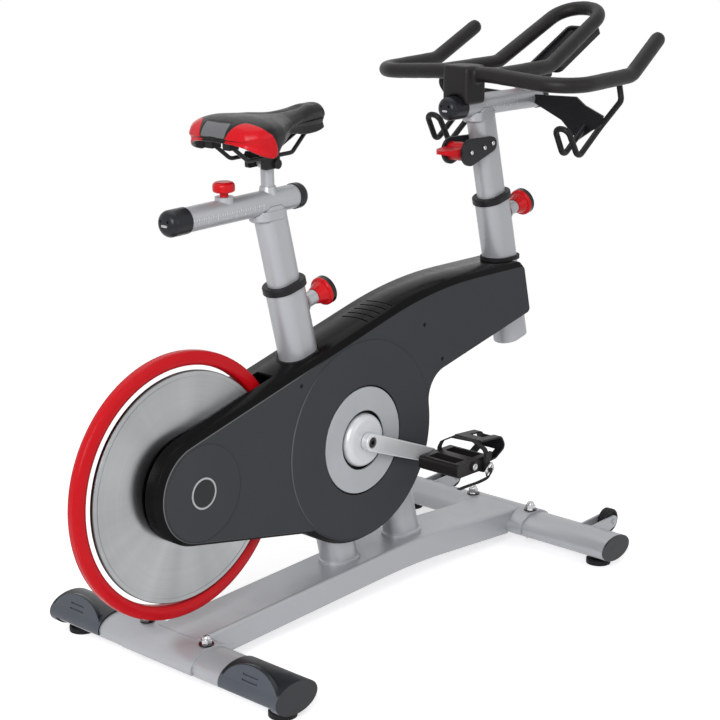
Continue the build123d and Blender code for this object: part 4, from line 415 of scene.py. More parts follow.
# one finish for each of the record's material slots
axle, crankCentre = hingeCentre("flywheel"), hingeCentre("crank")
badgeBox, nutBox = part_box("side_badges"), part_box("acorn_nuts")
badgeCentre = tuple((badgeBox[0][axis] + badgeBox[1][axis]) / 2 for axis in (0, 2))
badgeRadius = (badgeBox[1][2] - badgeBox[0][2]) / 2
nutHeight = 0.0149
silver = {"colour": (0.43, 0.44, 0.465), "rough": 0.36, "metal": 0.35, "shine": 0.4}
black = {"colour": (0.009, 0.009, 0.0105), "rough": 0.4, "shine": 0.2}
steel = {"rough": 0.3, "metal": 1.0, "centre": axle}
finishes = {
    "frame_paint": (paintedMetal, silver),
    "crank_paint": (paintedMetal, {**silver, "colour": (0.66, 0.67, 0.69), "rough": 0.3}),
    "inner_paint": (paintedMetal, {**black, "flake": 0.02}),
    "rail_paint": (paintedMetal, {**black, "colour": (0.015, 0.015, 0.016), "rough": 0.3, "flake": 0.03}),
    "nut_chrome": (nutSteel, {"colour": (0.5, 0.5, 0.51), "rough": 0.1, "metal": 1.0,
                              "washer": nutBox[1][2] - nutHeight, "washerColour": (0.02, 0.019, 0.02)}),
    "bearing_steel": (turnedSteel, {**steel, "colour": (0.45, 0.45, 0.46), "rough": 0.25}),
    "axle_steel": (turnedSteel, {**steel, "colour": (0.36, 0.36, 0.37), "rough": 0.28}),
    "caliper_steel": (turnedSteel, {**steel, "colour": (0.25, 0.25, 0.26)}),
    "spindle_steel": (turnedSteel, {**steel, "colour": (0.05, 0.05, 0.052), "centre": crankCentre}),
    "screw_steel": (turnedSteel, {**steel, "colour": (0.03, 0.03, 0.032), "rough": 0.35,
                                  "centre": crankCentre}),
    # the disc's wedge is painted reflection round its face
    "disc_steel": (turnedSteel, {**steel, "colour": (0.36, 0.37, 0.378), "rough": 0.24, "rim": 0.1882,
                                 "rimColour": (0.1, 0.1, 0.105), "stretch": 0.85, "reflectionWedge": 0.75,
                                 "grooves": 2600.0}),
    "ring_plastic": (mouldedPlastic, {"colour": (0.43, 0.445, 0.468), "rough": 0.42, "metal": 0.2}),
    "hub_plastic": (mouldedPlastic, {"colour": (0.64, 0.655, 0.675), "rough": 0.3, "metal": 0.3}),
    "badge_plastic": (turnedSteel, {"colour": (0.022, 0.023, 0.026), "rough": 0.3, "metal": 0.2, "shine": 0.2,
                                    "centre": badgeCentre, "rim": 0.86 * badgeRadius,
                                    "rimColour": (0.45, 0.46, 0.47)}),
    "guard_red": (mouldedPlastic, {"colour": (0.58, 0.004, 0.01), "rough": 0.3, "shine": 0.16, "grain": 0.05,
                                   "uneven": 0.03, "edge": 0.002}),
    "lever_red": (mouldedPlastic, {"colour": (0.6, 0.005, 0.01), "rough": 0.3, "shine": 0.18, "grain": 0.1}),
    "knob_red": (mouldedPlastic, {"colour": (0.62, 0.006, 0.011), "rough": 0.25, "shine": 0.22,
                                  "grain": 0.08}),
    "shroud_plastic": (shroudPlastic, {"colour": (0.055, 0.058, 0.064), "rough": 0.5, "shine": 0.12,
                                       "ior": 1.3, "bandColour": (0.006, 0.006, 0.0065), "bandRough": 0.2,
                                       # the pale lines along the band's edge and the round's edge, and their
                                       # colour, are a painted highlight
                                       "bandEdge": (0.0546, 0.0558), "bandHighlight": (0.0534, 0.0544),
                                       "roundHighlight": ((0.1751, 0.1754), (0.1762, 0.1764)),
                                       "highlightEnd": (-0.24, -0.14), "highlightColour": (0.16, 0.165, 0.17),
                                       "centre": crankCentre, "crown": 4.5}),
    "cover_plastic": (coverPlastic, {"colour": (0.014, 0.016, 0.02), "wing": (0.075, 0.085, 0.104),
                                     "rough": 0.34, "shine": 0.3}),
    "collar_plastic": (mouldedPlastic, black),
    "cable_plastic": (mouldedPlastic, black),
    "pulley_plastic": (mouldedPlastic, {**black, "colour": (0.02, 0.02, 0.02)}),
    "pedal_plastic": (mouldedPlastic, {**black, "colour": (0.014, 0.012, 0.012), "rough": 0.35}),
    "cage_plastic": (mouldedPlastic, {**black, "rough": 0.38}),
    "cap_plastic": (mouldedPlastic, {**black, "colour": (0.016, 0.017, 0.021), "rough": 0.24, "grain": 0.1}),
    "shell_plastic": (mouldedPlastic, {**black, "rough": 0.35}),
    "bracket_plastic": (mouldedPlastic, {**black, "colour": (0.018, 0.019, 0.022), "rough": 0.4}),
    "tray_plastic": (mouldedPlastic, {**black, "rough": 0.42, "grain": 0.4}),
    "holder_plastic": (mouldedPlastic, {**black, "rough": 0.38}),
    "gasket_rubber": (mouldedPlastic, {**black, "rough": 0.6}),
    "belt_rubber": (mouldedPlastic, {**black, "rough": 0.65}),
    "bar_rubber": (mouldedPlastic, {"colour": (0.0125, 0.011, 0.011), "rough": 0.42, "shine": 0.22,
                                    "grain": 0.35, "tooth": 1800.0}),
    "stem_rubber": (mouldedPlastic, {"colour": (0.017, 0.015, 0.015), "rough": 0.5, "shine": 0.3}),
    "wheel_rubber": (mouldedPlastic, {**black, "rough": 0.55}),
    "foot_rubber": (mouldedPlastic, {**black, "rough": 0.6}),
    "strap_fabric": (webbing, {"colour": (0.012, 0.012, 0.013), "rough": 0.75, "shine": 0.3,
                               "threads": 4200.0}),
    # the pad's grey is painted sheen on the black leather
    "saddle_leather": (leather, {"colour": (0.0105, 0.01, 0.0105), "rough": 0.34, "shine": 0.2,
                                 "cells": 900.0, "panel": (0.62, 0.005, 0.012),
                                 "sheenPad": (0.15, 0.152, 0.16), "seam": (0.004, 0.004, 0.004)}),
}
materials = {slot: make(slot, settings) for slot, (make, settings) in finishes.items()}
for part in frame["record"]["subparts"]:
    mesh = nodes[part["node"]].data
    mesh.materials.clear()
    mesh.materials.append(materials[part["material_slot"]])


def pointsOf(mesh):
    # the mesh's points as rows of three numbers
    points = np.empty(len(mesh.vertices) * 3, np.float32)
    mesh.vertices.foreach_get("co", points)
    return points.reshape(-1, 3)


# the two post knobs end in a black gripping rim
knobRim = {"length": 0.009, "rimColour": (0.012, 0.012, 0.0125)}
for knob in ("seat_height_knob", "head_height_knob"):
    mesh, axis = nodes[knob].data, joints[knob]["axis"]
    tip = (pointsOf(mesh) @ axis).max()
    mesh.materials[0] = mouldedPlastic(knob + "_red", {
        **finishes["knob_red"][1], "axis": axis, "from": tip - knobRim["length"],
        "rimColour": knobRim["rimColour"]})
print("finishes made:", len(materials))


def surfaceGrid(name, points, closed=(False, False), material=None):
    # a mesh from points with two running numbers, or from several such grids in one array;
    # closed says which of the two numbers comes round
    rows, columns = points.shape[-3:-1]
    index = np.arange(rows * columns).reshape(rows, columns)
    if closed[0]:
        index = np.vstack([index, index[:1]])
    if closed[1]:
        index = np.hstack([index, index[:, :1]])
    quads = np.stack([index[:-1, :-1], index[1:, :-1], index[1:, 1:], index[:-1, 1:]], -1).reshape(-1, 4)
    count = points.size // (3 * rows * columns)
    quads = (np.arange(count)[:, None, None] * rows * columns + quads).reshape(-1, 4)
    mesh = bpy.data.meshes.new(name)
    mesh.from_pydata(points.reshape(-1, 3).tolist(), [], quads.tolist())
    mesh.polygons.foreach_set("use_smooth", np.ones(len(mesh.polygons), bool))
    if material:
        mesh.materials.append(material)
    return addObject(name, mesh)


def closePoles(piece, near=0.00002):
    # doubled points are joined, open ends filled and the faces turned outwards
    work = bmesh.new()
    work.from_mesh(piece.data)
    bmesh.ops.remove_doubles(work, verts=work.verts, dist=near)
    bmesh.ops.dissolve_degenerate(work, edges=work.edges, dist=near / 2)
    bmesh.ops.holes_fill(work, edges=[edge for edge in work.edges if edge.is_boundary])
    bmesh.ops.recalc_face_normals(work, faces=work.faces)
    work.to_mesh(piece.data)
    work.free()


def bend(t, first, last, leave, arrive, run=1):
    # the cubic from first at t = 0 to last at t = 1, over a run that starts and ends at the given slopes
    return ((2 * t**3 - 3 * t**2 + 1) * first + (t**3 - 2 * t**2 + t) * run * leave
            + (3 * t**2 - 2 * t**3) * last + (t**3 - t**2) * run * arrive)


def smoothPath(points, count):
    # a curve through the points: cubic between each two, its slope there half the step from one neighbour
    # to the other
    knots = np.array(points, float)
    slope = np.gradient(knots, axis=0)
    run = np.linspace(0, len(knots) - 1, count)
    cell = np.minimum(run.astype(int), len(knots) - 2)
    return bend((run - cell)[:, None], knots[cell], knots[cell + 1], slope[cell], slope[cell + 1])


def fullTurn(count):
    # evenly spaced angles round a circle
    return np.linspace(0, 2 * math.pi, count, endpoint=False)


def squaredTurn(turn, power):
    # the turn's cosine and sine, each raised to a power below 1, which makes a round outline squarer
    return [np.sign(wave) * np.abs(wave) ** power for wave in (np.cos(turn), np.sin(turn))]


def sweepSection(path, sideways, wide, high, round=False, around=16, square=0.6):
    # an oval section carried along a path: centre + wide cos(turn) sideways + high sin(turn) upwards,
    # with the cosine squared off
    ahead = np.roll(path, -1, 0) - np.roll(path, 1, 0) if round else np.gradient(path, axis=0)
    sideways = np.broadcast_to(np.array(sideways, float), path.shape)
    up = np.cross(ahead, sideways)
    up /= np.linalg.norm(up, axis=1, keepdims=True)
    side = np.cross(up, ahead)
    side /= np.linalg.norm(side, axis=1, keepdims=True)
    turn = fullTurn(around)
    bluff = squaredTurn(turn, square)[0]
    return (path[:, None] + wide * bluff[None, :, None] * side[:, None]
            + high * np.sin(turn)[None, :, None] * up[:, None])


def turnedSet(name, outline, places, axis, material, around=28):
    # a (radius, height) outline turned about an axis at each place: place + height along + radius round;
    # the two directions across the axis come from any third one
    axis = np.array(axis, float)
    first = np.cross(axis, (0.31, 0.17, 0.93))
    first /= np.linalg.norm(first)
    second = np.cross(axis, first)
    turn = fullTurn(around)
    spoke = np.cos(turn)[:, None] * first + np.sin(turn)[:, None] * second
    radius, height = np.array(outline, float).T
    shape = radius[:, None, None] * spoke[None] + height[:, None, None] * axis
    points = np.array(places, float)[:, None, None, :] + shape[None]
    piece = surfaceGrid(name, points, (False, True), material)
    closePoles(piece)
    return piece


# moulded handlebar: the bent tubes and the stem block run into each other in one rubber skin
grip = {"merge": 0.00001, "voxel": 0.0026, "relax": 0.6, "smoothing": 12}


def meltTogether(name, sources, settings):
    # copies of the nodes' meshes, merged, remade as one skin of even cells and relaxed
    points, faces, start = [], [], 0
    for mesh in [nodes[source].data for source in sources]:
        corner = np.empty(len(mesh.loops), np.int32)
        mesh.loops.foreach_get("vertex_index", corner)
        points.append(pointsOf(mesh))
        faces.append(corner.reshape(-1, 3) + start)
        start += len(mesh.vertices)
    mesh = bpy.data.meshes.new(name)
    mesh.from_pydata(np.vstack(points).tolist(), [], np.vstack(faces).tolist())
    piece = addObject(name, mesh)
    weld = piece.modifiers.new("weld", "WELD")
    weld.merge_threshold = settings["merge"]
    remake = piece.modifiers.new("remake", "REMESH")
    remake.mode = "VOXEL"
    remake.voxel_size = settings["voxel"]
    remake.use_smooth_shade = True
    relax = piece.modifiers.new("relax", "CORRECTIVE_SMOOTH")
    relax.rest_source = "ORCO"
    relax.factor = settings["relax"]
    relax.iterations = settings["smoothing"]
    relax.use_only_smooth = True
    return settle(piece)


def settle(piece):
    # the piece's modifiers worked into its own mesh
    shown = bpy.context.evaluated_depsgraph_get()
    made = bpy.data.meshes.new_from_object(piece.evaluated_get(shown))
    piece.modifiers.clear()
    old = piece.data
    piece.data = made
    bpy.data.meshes.remove(old)
    made.name = piece.name
    return piece


barSkin = meltTogether("barSkin", ("handlebar", "stem_block"), grip)
barSkin.data.materials.clear()
barSkin.data.materials.append(materials["bar_rubber"])
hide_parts("handlebar", "stem_block")
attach(barSkin, "handlebar")
print("handlebar skin:", len(barSkin.data.polygons), "faces")


# saddle: where it sits, then its padding from the crown out to the hem, and how far the cover swells
saddle = {
    "pillar": -0.22506, "slider": (-0.22706, 0.745), "climb": 1.8, "rearDrop": 0.0056,
    "around": 300, "halfWidth": 0.0875, "spine": (-0.06, 0.112), "tailFrom": -0.02, "tailRun": 0.08,
    "crownRows": 22, "gather": 0.85, "shoulder": 2.6, "fall": 0.011, "wideFall": 0.012, "tailFall": 0.006,
    "dish": 0.005, "dishHalf": 0.0075, "dishFrom": -0.06, "dishRise": 0.05, "dishTo": 0.105, "dishEnd": 0.03,
    "skirtRows": 15, "tuck": 0.0028, "draw": 0.002, "bulge": 0.0035, "bulgeAt": -0.035, "bulgeRun": 0.05,
    "hemRows": 7, "hemHalf": 0.0035, "hemDrop": 0.002,
    "ceiling": 0.8665, "wallShares": (0.35, 0.7, 1.0), "ceilingShares": (0.75, 0.5, 0.25, 0.0),
    "swell": 0.002, "pressure": 3.0, "looseRows": 24, "holdRows": 10, "frames": 15,
}


def saddlePlace(points):
    # from the level saddle, drawn about its pillar, to its place on the climbing slider
    turn = math.radians(saddle["climb"])
    across = points[..., 0] + saddle["pillar"] - saddle["slider"][0]
    up = points[..., 2] - saddle["slider"][1]
    placed = points.copy()
    placed[..., 0] = saddle["slider"][0] + across * math.cos(turn) - up * math.sin(turn)
    placed[..., 2] = saddle["slider"][1] + across * math.sin(turn) + up * math.cos(turn)
    return placed


def profile(x, stations):
    # a smooth line through the (place, value) stations: cubic between them, with even slopes
    knots = np.array(stations, float)
    slope = np.gradient(knots[:, 1], knots[:, 0])
    cell = np.clip(np.searchsorted(knots[:, 0], x) - 1, 0, len(knots) - 2)
    width = knots[cell + 1, 0] - knots[cell, 0]
    t = np.clip((x - knots[cell, 0]) / width, 0, 1)
    return bend(t, knots[cell, 1], knots[cell + 1, 1], slope[cell], slope[cell + 1], width)


halfPlan = [(-0.119, 0.0), (-0.117, 0.034), (-0.108, 0.064), (-0.09, 0.081), (-0.062, 0.0865), (-0.035, 0.08),
            (-0.008, 0.06), (0.022, 0.039), (0.06, 0.027), (0.1, 0.0205), (0.124, 0.0145), (0.131, 0.007),
            (0.133, 0.0)]
crestLine = [(-0.125, 0.880), (-0.105, 0.8905), (-0.075, 0.8945), (-0.03, 0.8905), (0.02, 0.8865),
             (0.06, 0.889), (0.095, 0.8935), (0.118, 0.8905), (0.135, 0.877)]
hemLine = [(-0.125, 0.861), (-0.116, 0.858), (-0.105, 0.851), (-0.09, 0.842), (-0.075, 0.8365),
           (-0.063, 0.835), (-0.052, 0.842), (-0.042, 0.851), (-0.015, 0.8555), (0.03, 0.856),
           (0.062, 0.850), (0.1, 0.8485), (0.135, 0.853)]
softening = {"points": 4000, "reach": 70, "spread": 2.2}


def planOutline(count):
    # points evenly spaced round the plan, from the tail's middle along the right side to the nose and back,
    # its corners softened by a running mean weighted exp(-t squared), t from -spread to spread
    knots = np.array(halfPlan)
    ring = np.vstack([knots * (1, -1), knots[::-1][1:-1], knots[:1] * (1, -1)])
    walk = np.concatenate([[0], np.cumsum(np.hypot(*np.diff(ring, axis=0).T))])
    fine = np.linspace(0, walk[-1], softening["points"], endpoint=False)
    line = np.stack([np.interp(fine, walk, ring[:, 0]), np.interp(fine, walk, ring[:, 1])], -1)
    reach = softening["reach"]
    kernel = np.exp(-np.linspace(-softening["spread"], softening["spread"], 2 * reach + 1) ** 2)
    kernel /= kernel.sum()
    padded = np.vstack([line[-reach:], line, line[:reach]])
    line = np.stack([np.convolve(padded[:, i], kernel, "valid") for i in (0, 1)], -1)
    pick = np.linspace(0, len(line), count, endpoint=False).astype(int)
    return line[pick]


def raised(spot, height):
    # points over the plan's places at a height, which may be one number
    return np.stack([spot[:, 0], spot[:, 1], height + 0 * spot[:, 0]], -1)


def saddleSurface(sizes):
    # each point of the plan's outline is joined to the spine; going out, the section runs over the crown,
    # round the shoulder, down the skirt, under the hem and back along the inside to the shell
    outline = planOutline(sizes["around"])
    x = outline[:, 0]
    spine = np.stack([np.clip(x, *sizes["spine"]), 0 * x], -1)
    out = outline - spine
    wide = np.abs(outline[:, 1]) / sizes["halfWidth"]
    tail = np.clip((sizes["tailFrom"] - x) / sizes["tailRun"], 0, 1)
    fall = sizes["fall"] + sizes["wideFall"] * wide + sizes["tailFall"] * tail
    rows = []
    for reach in np.linspace(0, 1, sizes["crownRows"]) ** sizes["gather"]:
        spot = spine + out * reach
        dish = sizes["dish"] * np.exp(-(spot[:, 1] / sizes["dishHalf"]) ** 2)
        dish *= np.clip((spot[:, 0] - sizes["dishFrom"]) / sizes["dishRise"], 0, 1)
        dish *= np.clip((sizes["dishTo"] - spot[:, 0]) / sizes["dishEnd"], 0, 1)
        drop = fall * (1 - np.sqrt(np.clip(1 - reach ** sizes["shoulder"], 0, 1)))
        rows.append(raised(spot, profile(spot[:, 0], crestLine) - drop - dish))
    edge = rows[-1][:, 2]
    hem = profile(x, hemLine)
    away = out / np.maximum(np.linalg.norm(out, axis=1, keepdims=True), 1e-6)
    for down in np.linspace(0, 1, sizes["skirtRows"])[1:]:
        tuck = sizes["tuck"] * math.sin(math.pi * down) + sizes["draw"] * down
        bulge = (sizes["bulge"] * math.sin(math.pi * down)
                 * np.exp(-((x - sizes["bulgeAt"]) / sizes["bulgeRun"]) ** 2))
        rows.append(raised(outline + away * (bulge - tuck)[:, None], edge + (hem - edge) * down))
    last = rows[-1]
    for turn in np.linspace(0, math.pi, sizes["hemRows"])[1:]:
        inward = sizes["hemHalf"] * (1 - math.cos(turn))
        rows.append(raised(last[:, :2] - away * inward, last[:, 2] - sizes["hemDrop"] * math.sin(turn)))
    wall = rows[-1]
    for up in sizes["wallShares"]:
        rows.append(raised(wall, wall[:, 2] + (sizes["ceiling"] - wall[:, 2]) * up))
    for back in sizes["ceilingShares"]:
        rows.append(raised(spine + (wall[:, :2] - spine) * back, sizes["ceiling"]))
    return np.array(rows)


def swellPad(piece, rows, settings):
    # the cover is blown up a little as cloth, held along its hem, and no point moves more than the cap
    count = settings["around"]
    pins = piece.vertex_groups.new(name="pins")
    for row in range(rows):
        hold = min(max((row - settings["looseRows"]) / settings["holdRows"], 0.0), 1.0)
        pins.add(list(range(row * count, (row + 1) * count)), hold, "REPLACE")
    closePoles(piece)
    before = pointsOf(piece.data)
    cloth = piece.modifiers.new("swell", "CLOTH")
    cloth.settings.use_pressure = True
    cloth.settings.uniform_pressure_force = settings["pressure"]
    cloth.settings.effector_weights.gravity = 0
    cloth.settings.vertex_group_mass = "pins"
    cloth.settings.quality = 4
    for number in range(1, settings["frames"] + 1):
        bpy.context.scene.frame_set(number)
    move = pointsOf(piece.evaluated_get(bpy.context.evaluated_depsgraph_get()).to_mesh()) - before
    piece.modifiers.clear()
    bpy.context.scene.frame_set(1)
    far = np.linalg.norm(move, axis=1, keepdims=True)
    move *= np.minimum(1, settings["swell"] / np.maximum(far, 1e-9))
    piece.data.vertices.foreach_set("co", (before + move).ravel())
    print("saddle cover swelled by at most", round(float(np.linalg.norm(move, axis=1).max()) * 1000, 2), "mm")


# the side panels' top line: the angle from straight back, in degrees, and the height
redPanel = [(22.5, 0.850), (24.5, 0.860), (28, 0.870), (34, 0.8785), (42, 0.8845), (51, 0.8878), (61, 0.8885),
            (70, 0.8855), (78, 0.879), (85, 0.869), (90, 0.857), (93, 0.844), (94.5, 0.828)]
# the rear pad: where a painted grey sheen lies on the black cover at the back
rearSheenPad = {"half": 0.0275, "low": 0.8632, "high": 0.8875, "from": -0.078}
# panels lie round the spine's rear end, on faces that look outwards and not down
panelSides = {"meanReach": 0.07, "inner": 0.035, "outward": -0.1, "down": -0.75, "outside": -0.01}


def markPanels(piece):
    # distances for the cover's panels: panelEdge = (the panel's top line less the height) / the root of 1 +
    # slope squared, on faces that look outwards; sheenPadEdge = distance in from the sides of the pad, whose
    # grey is painted sheen
    facing = np.empty(len(piece.data.vertices) * 3, np.float32)
    piece.data.vertex_normals.foreach_get("vector", facing)
    spot, facing = pointsOf(piece.data).astype(float), facing.reshape(-1, 3)
    climb = math.radians(saddle["climb"])
    across, up = spot[:, 0] - saddle["slider"][0], spot[:, 2] - saddle["slider"][1]
    x = across * math.cos(climb) + up * math.sin(climb) + saddle["slider"][0] - saddle["pillar"]
    z = up * math.cos(climb) - across * math.sin(climb) + saddle["slider"][1]
    wide, ahead = np.abs(spot[:, 1]), x - saddle["spine"][0]
    reach = np.hypot(ahead, wide)
    angle = np.degrees(np.arctan2(wide, -ahead))
    degree = math.radians(1) * panelSides["meanReach"]
    slope = (profile(angle + 0.5, redPanel) - profile(angle - 0.5, redPanel)) / degree
    panel = (profile(angle, redPanel) - z) / np.sqrt(1 + slope**2)
    ends = np.minimum(angle - redPanel[0][0], redPanel[-1][0] - angle) * degree
    outward = (facing[:, 0] * ahead + facing[:, 1] * spot[:, 1]) / np.maximum(reach, 1e-6)
    upper = facing[:, 2] > panelSides["down"]
    shown = np.where((outward > panelSides["outward"]) & upper, 1, panelSides["outside"])
    panel = np.minimum.reduce([panel, ends, shown, reach - panelSides["inner"]])
    # the pad of painted sheen: distance in from its sides, its top, its bottom and its front
    sheenPad = np.minimum.reduce([rearSheenPad["half"] - wide, rearSheenPad["high"] - z, z - rearSheenPad["low"],
                             rearSheenPad["from"] - x])
    for label, value in (("panelEdge", panel), ("sheenPadEdge", np.where(upper, sheenPad, panelSides["outside"]))):
        layer = piece.data.attributes.new(label, "FLOAT", "POINT")
        layer.data.foreach_set("value", value.astype(np.float32))


saddleRows = saddleSurface(saddle)
saddlePad = surfaceGrid("saddlePad", saddlePlace(saddleRows), closed=(False, True))
swellPad(saddlePad, len(saddleRows), saddle)
closePoles(saddlePad)
markPanels(saddlePad)
rounder = saddlePad.modifiers.new("rounder", "SUBSURF")
rounder.levels = rounder.render_levels = 1
saddlePad.data.materials.append(materials["saddle_leather"])
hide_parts("saddle_cushion")
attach(saddlePad, "saddle")
print("saddle pad:", len(saddlePad.data.polygons), "faces")

# under the padding: a smooth moulded shell, deepest along its middle, and its flat inner face
shell = {"around": 160, "spine": (-0.06, 0.1), "inset": 0.93, "rim": 0.8668, "low": 0.8505, "curve": 5,
         "bowl": (0.92, 14), "inner": (0.3, 0.6, 0.85), "lip": 0.0004}


def shellSurface(sizes):
    # the plan drawn in to each share of its reach from the spine: height = rim - (rim - low) x (1 - share of
    # the inset to the power of the curve), and the inner face a lip below the rim
    ring = planOutline(sizes["around"])
    spine = np.stack([np.clip(ring[:, 0], *sizes["spine"]), 0 * ring[:, 0]], -1)
    rows = []
    for reach in np.concatenate([[sizes["inset"]], np.linspace(sizes["bowl"][0], 0, sizes["bowl"][1])]):
        drop = (sizes["rim"] - sizes["low"]) * (1 - (reach / sizes["inset"]) ** sizes["curve"])
        rows.append(raised(spine + (ring - spine) * reach, sizes["rim"] - drop))
    for reach in sizes["inner"]:
        rows.append(raised(spine + (ring - spine) * reach, sizes["rim"] - sizes["lip"]))
    return np.array(rows)


saddleShell = surfaceGrid("saddleShell", saddlePlace(shellSurface(shell)), (True, True),
                          materials["shell_plastic"])
closePoles(saddleShell)
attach(saddleShell, "saddle")
print("saddle shell:", len(saddleShell.data.polygons), "faces")


# guard: each side of the hoop is crowned, highest at a ridge nearer its inner edge
guard = {"inner": 0.1971, "ridge": 0.2052, "outer": 0.2192, "height": 0.0028, "side": 0.0079, "sink": 0.001,
         "from": 34.5, "to": 325.5, "around": 300, "riseRows": 8, "fallRows": 15, "fallTurn": 1.47}


def sweepGuard(name, settings, side):
    # radius runs inner to outer; height = ridge height x sin of the way up, then x cos of the way down
    angle = np.radians(np.linspace(settings["from"], settings["to"], settings["around"]))[:, None]
    rise = np.linspace(0, 1, settings["riseRows"], endpoint=False)
    fall = np.linspace(0, 1, settings["fallRows"])
    radius = np.concatenate([settings["inner"] + (settings["ridge"] - settings["inner"]) * rise,
                             settings["ridge"] + (settings["outer"] - settings["ridge"]) * fall])
    height = settings["height"] * np.concatenate([np.sin(rise * math.pi / 2) ** 0.8,
                                                  np.cos(fall * settings["fallTurn"]) ** 0.9])
    radius = np.concatenate([radius, radius[-1:], radius[:1]])[None, :]
    height = np.concatenate([height, [-settings["sink"]] * 2])[None, :]
    points = np.stack([axle[0] + radius * np.cos(angle), side * (settings["side"] + height) + 0 * angle,
                       axle[1] + radius * np.sin(angle)], -1)
    piece = surfaceGrid(name, points, closed=(False, True), material=materials["guard_red"])
    closePoles(piece)
    return piece


for word, side in sides.items():
    crown = sweepGuard("guardCrown" + word.capitalize(), guard, side)
    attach(crown, "frame")
print("guard crowned")


# the height of each sliding tube's middle line at its rear end, from where the seat's tube climbs
slidingTubes = {"seat_slider": saddle["slider"][1] - saddle["rearDrop"], "handlebar": 0.853}
# scales: ticks, each second one short, and numbers printed along the sliding tubes
scales = {
    "seatScale": {"body": "seat_slider", "from": -0.4045, "climb": saddle["climb"], "run": 0.152},
    "barScale": {"body": "handlebar", "from": 0.315, "climb": 0.0, "run": 0.09},
}
marks = {"radius": 0.0203, "every": 0.005, "half": 0.0005, "tall": (0.0044, 0.0028), "digit": 0.0072,
         "digitDrop": 0.0066, "shift": 0.001}
printInk = mouldedPlastic("printInk", {"colour": (0.8, 0.81, 0.82), "rough": 0.5, "grain": 0.05})


def digitMesh(text, size):
    # a number's outline as flat points and faces
    curve = bpy.data.curves.new("digit", "FONT")
    curve.body = text
    curve.size = size
    curve.align_x = "CENTER"
    curve.resolution_u = 2
    holder = bpy.data.objects.new("digit", curve)
    mesh = bpy.data.meshes.new_from_object(holder)
    shape = pointsOf(mesh)[:, :2].astype(float)
    faces = [list(face.vertices) for face in mesh.polygons]
    bpy.data.objects.remove(holder)
    bpy.data.curves.remove(curve)
    bpy.data.meshes.remove(mesh)
    return shape, faces


def printScale(name, settings):
    # flat marks laid along the tube's right side: the run goes along the axis, the height round the tube
    flat, faces, start = [], [], 0
    half = marks["half"]
    for number in range(int(settings["run"] / marks["every"]) + 1):
        tall = marks["tall"][number % 2]
        x = number * marks["every"]
        flat.append(np.array([(x - half, 0), (x + half, 0), (x + half, tall), (x - half, tall)]))
        faces.append([start, start + 1, start + 2, start + 3])
        start += 4
        if number % 4 == 2:
            shape, parts = digitMesh(str(number // 4 + 1), marks["digit"])
            flat.append(shape + (x, -marks["digitDrop"]))
            faces += [[corner + start for corner in part] for part in parts]
            start += len(shape)
    flat = np.vstack(flat)
    climb = math.radians(settings["climb"])
    around = (flat[:, 1] - marks["shift"]) / marks["radius"]
    up = marks["radius"] * np.sin(around)
    x = settings["from"] + flat[:, 0] * math.cos(climb) - up * math.sin(climb)
    z = slidingTubes[settings["body"]] + flat[:, 0] * math.sin(climb) + up * math.cos(climb)
    points = np.stack([x, -marks["radius"] * np.cos(around), z], -1)
    mesh = bpy.data.meshes.new(name)
    mesh.from_pydata(points.tolist(), [], faces)
    mesh.materials.append(printInk)
    piece = addObject(name, mesh)
    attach(piece, settings["body"])


for name, settings in scales.items():
    printScale(name, settings)
print("scales printed")


# small metal parts: rivets, pedal bolts, buckles and the sliding tubes' catches
brightSteel = turnedSteel("bright_steel", {**steel, "colour": (0.5, 0.5, 0.51), "rough": 0.2})


def outerFace(box, side):
    # how far across the machine a box reaches on one side
    return box[0][1] if side < 0 else box[1][1]


# lever bracket: a rivet on the lever's pivot and two more ahead of it
bracket = {"cheek": 0.0245, "spots": ((0, 0), (0.037, 0.005), (0.061, 0.011)),
           "rivet": [(0.0041, -0.0012), (0.0041, 0.0002), (0.0036, 0.0009), (0.0024, 0.0014), (0, 0.0016)]}
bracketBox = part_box("lever_bracket")
pivot = (bracketBox[0][0] + bracket["cheek"], bracketBox[0][2] + bracket["cheek"])
for word, side in sides.items():
    face = outerFace(bracketBox, side)
    spots = [(pivot[0] + ahead, face, pivot[1] + up) for ahead, up in bracket["spots"]]
    rivets = turnedSet("bracketRivets" + word.capitalize(), bracket["rivet"], spots, (0, side, 0),
                       brightSteel)
    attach(rivets, "bar_post")

# pedals: the spindle's end bolt, the strap's buckle and its loose tail, whose route is (ahead, out, up)
# from the buckle's middle
boltOutline = [(0.0062, -0.001), (0.0062, 0.0006), (0.0052, 0.0014), (0.003, 0.0014), (0.0026, 0.0004),
               (0, 0.0004)]
buckle = {"ahead": 0.0315, "drop": 0.011, "proud": 0.0006, "skew": 8.0, "tilt": 28.0,
          "half": (0.0125, 0.0088), "pinHalf": 0.0003, "wire": 0.0015, "corner": 0.45, "around": 64}
strapTail = {"route": [(0, 0.0018, 0.004), (-0.002, 0.003, -0.005), (-0.014, 0.0045, -0.0105),
                       (-0.038, 0.005, -0.0125), (-0.064, 0.005, -0.012), (-0.091, 0.004, -0.0125)],
             "wide": 0.0052, "thick": 0.0008, "count": 60, "lean": (-0.2, 1.6)}


def strapBuckle(name, middle, side, sizes):
    # a squared wire ring and the pin across it, both tilted: middle + long cos(turn) flat + short sin(turn)
    # rise, with cosine and sine squared off
    skew, tilt = math.radians(sizes["skew"]), math.radians(sizes["tilt"])
    along = np.array((math.cos(skew), side * -math.sin(skew), 0))
    flat = along * math.cos(tilt) + np.array((0, 0, math.sin(tilt)))
    rise = np.array((0, 0, math.cos(tilt))) - along * math.sin(tilt)
    corner = squaredTurn(fullTurn(sizes["around"])[:, None], sizes["corner"])
    long, *short = *sizes["half"], sizes["pinHalf"]
    loops = [sweepSection(middle + flat * long * corner[0] + rise * half * corner[1], (0, side, 0),
                          sizes["wire"], sizes["wire"], round=True) for half in short]
    return surfaceGrid(name, np.array(loops), (True, True), brightSteel)


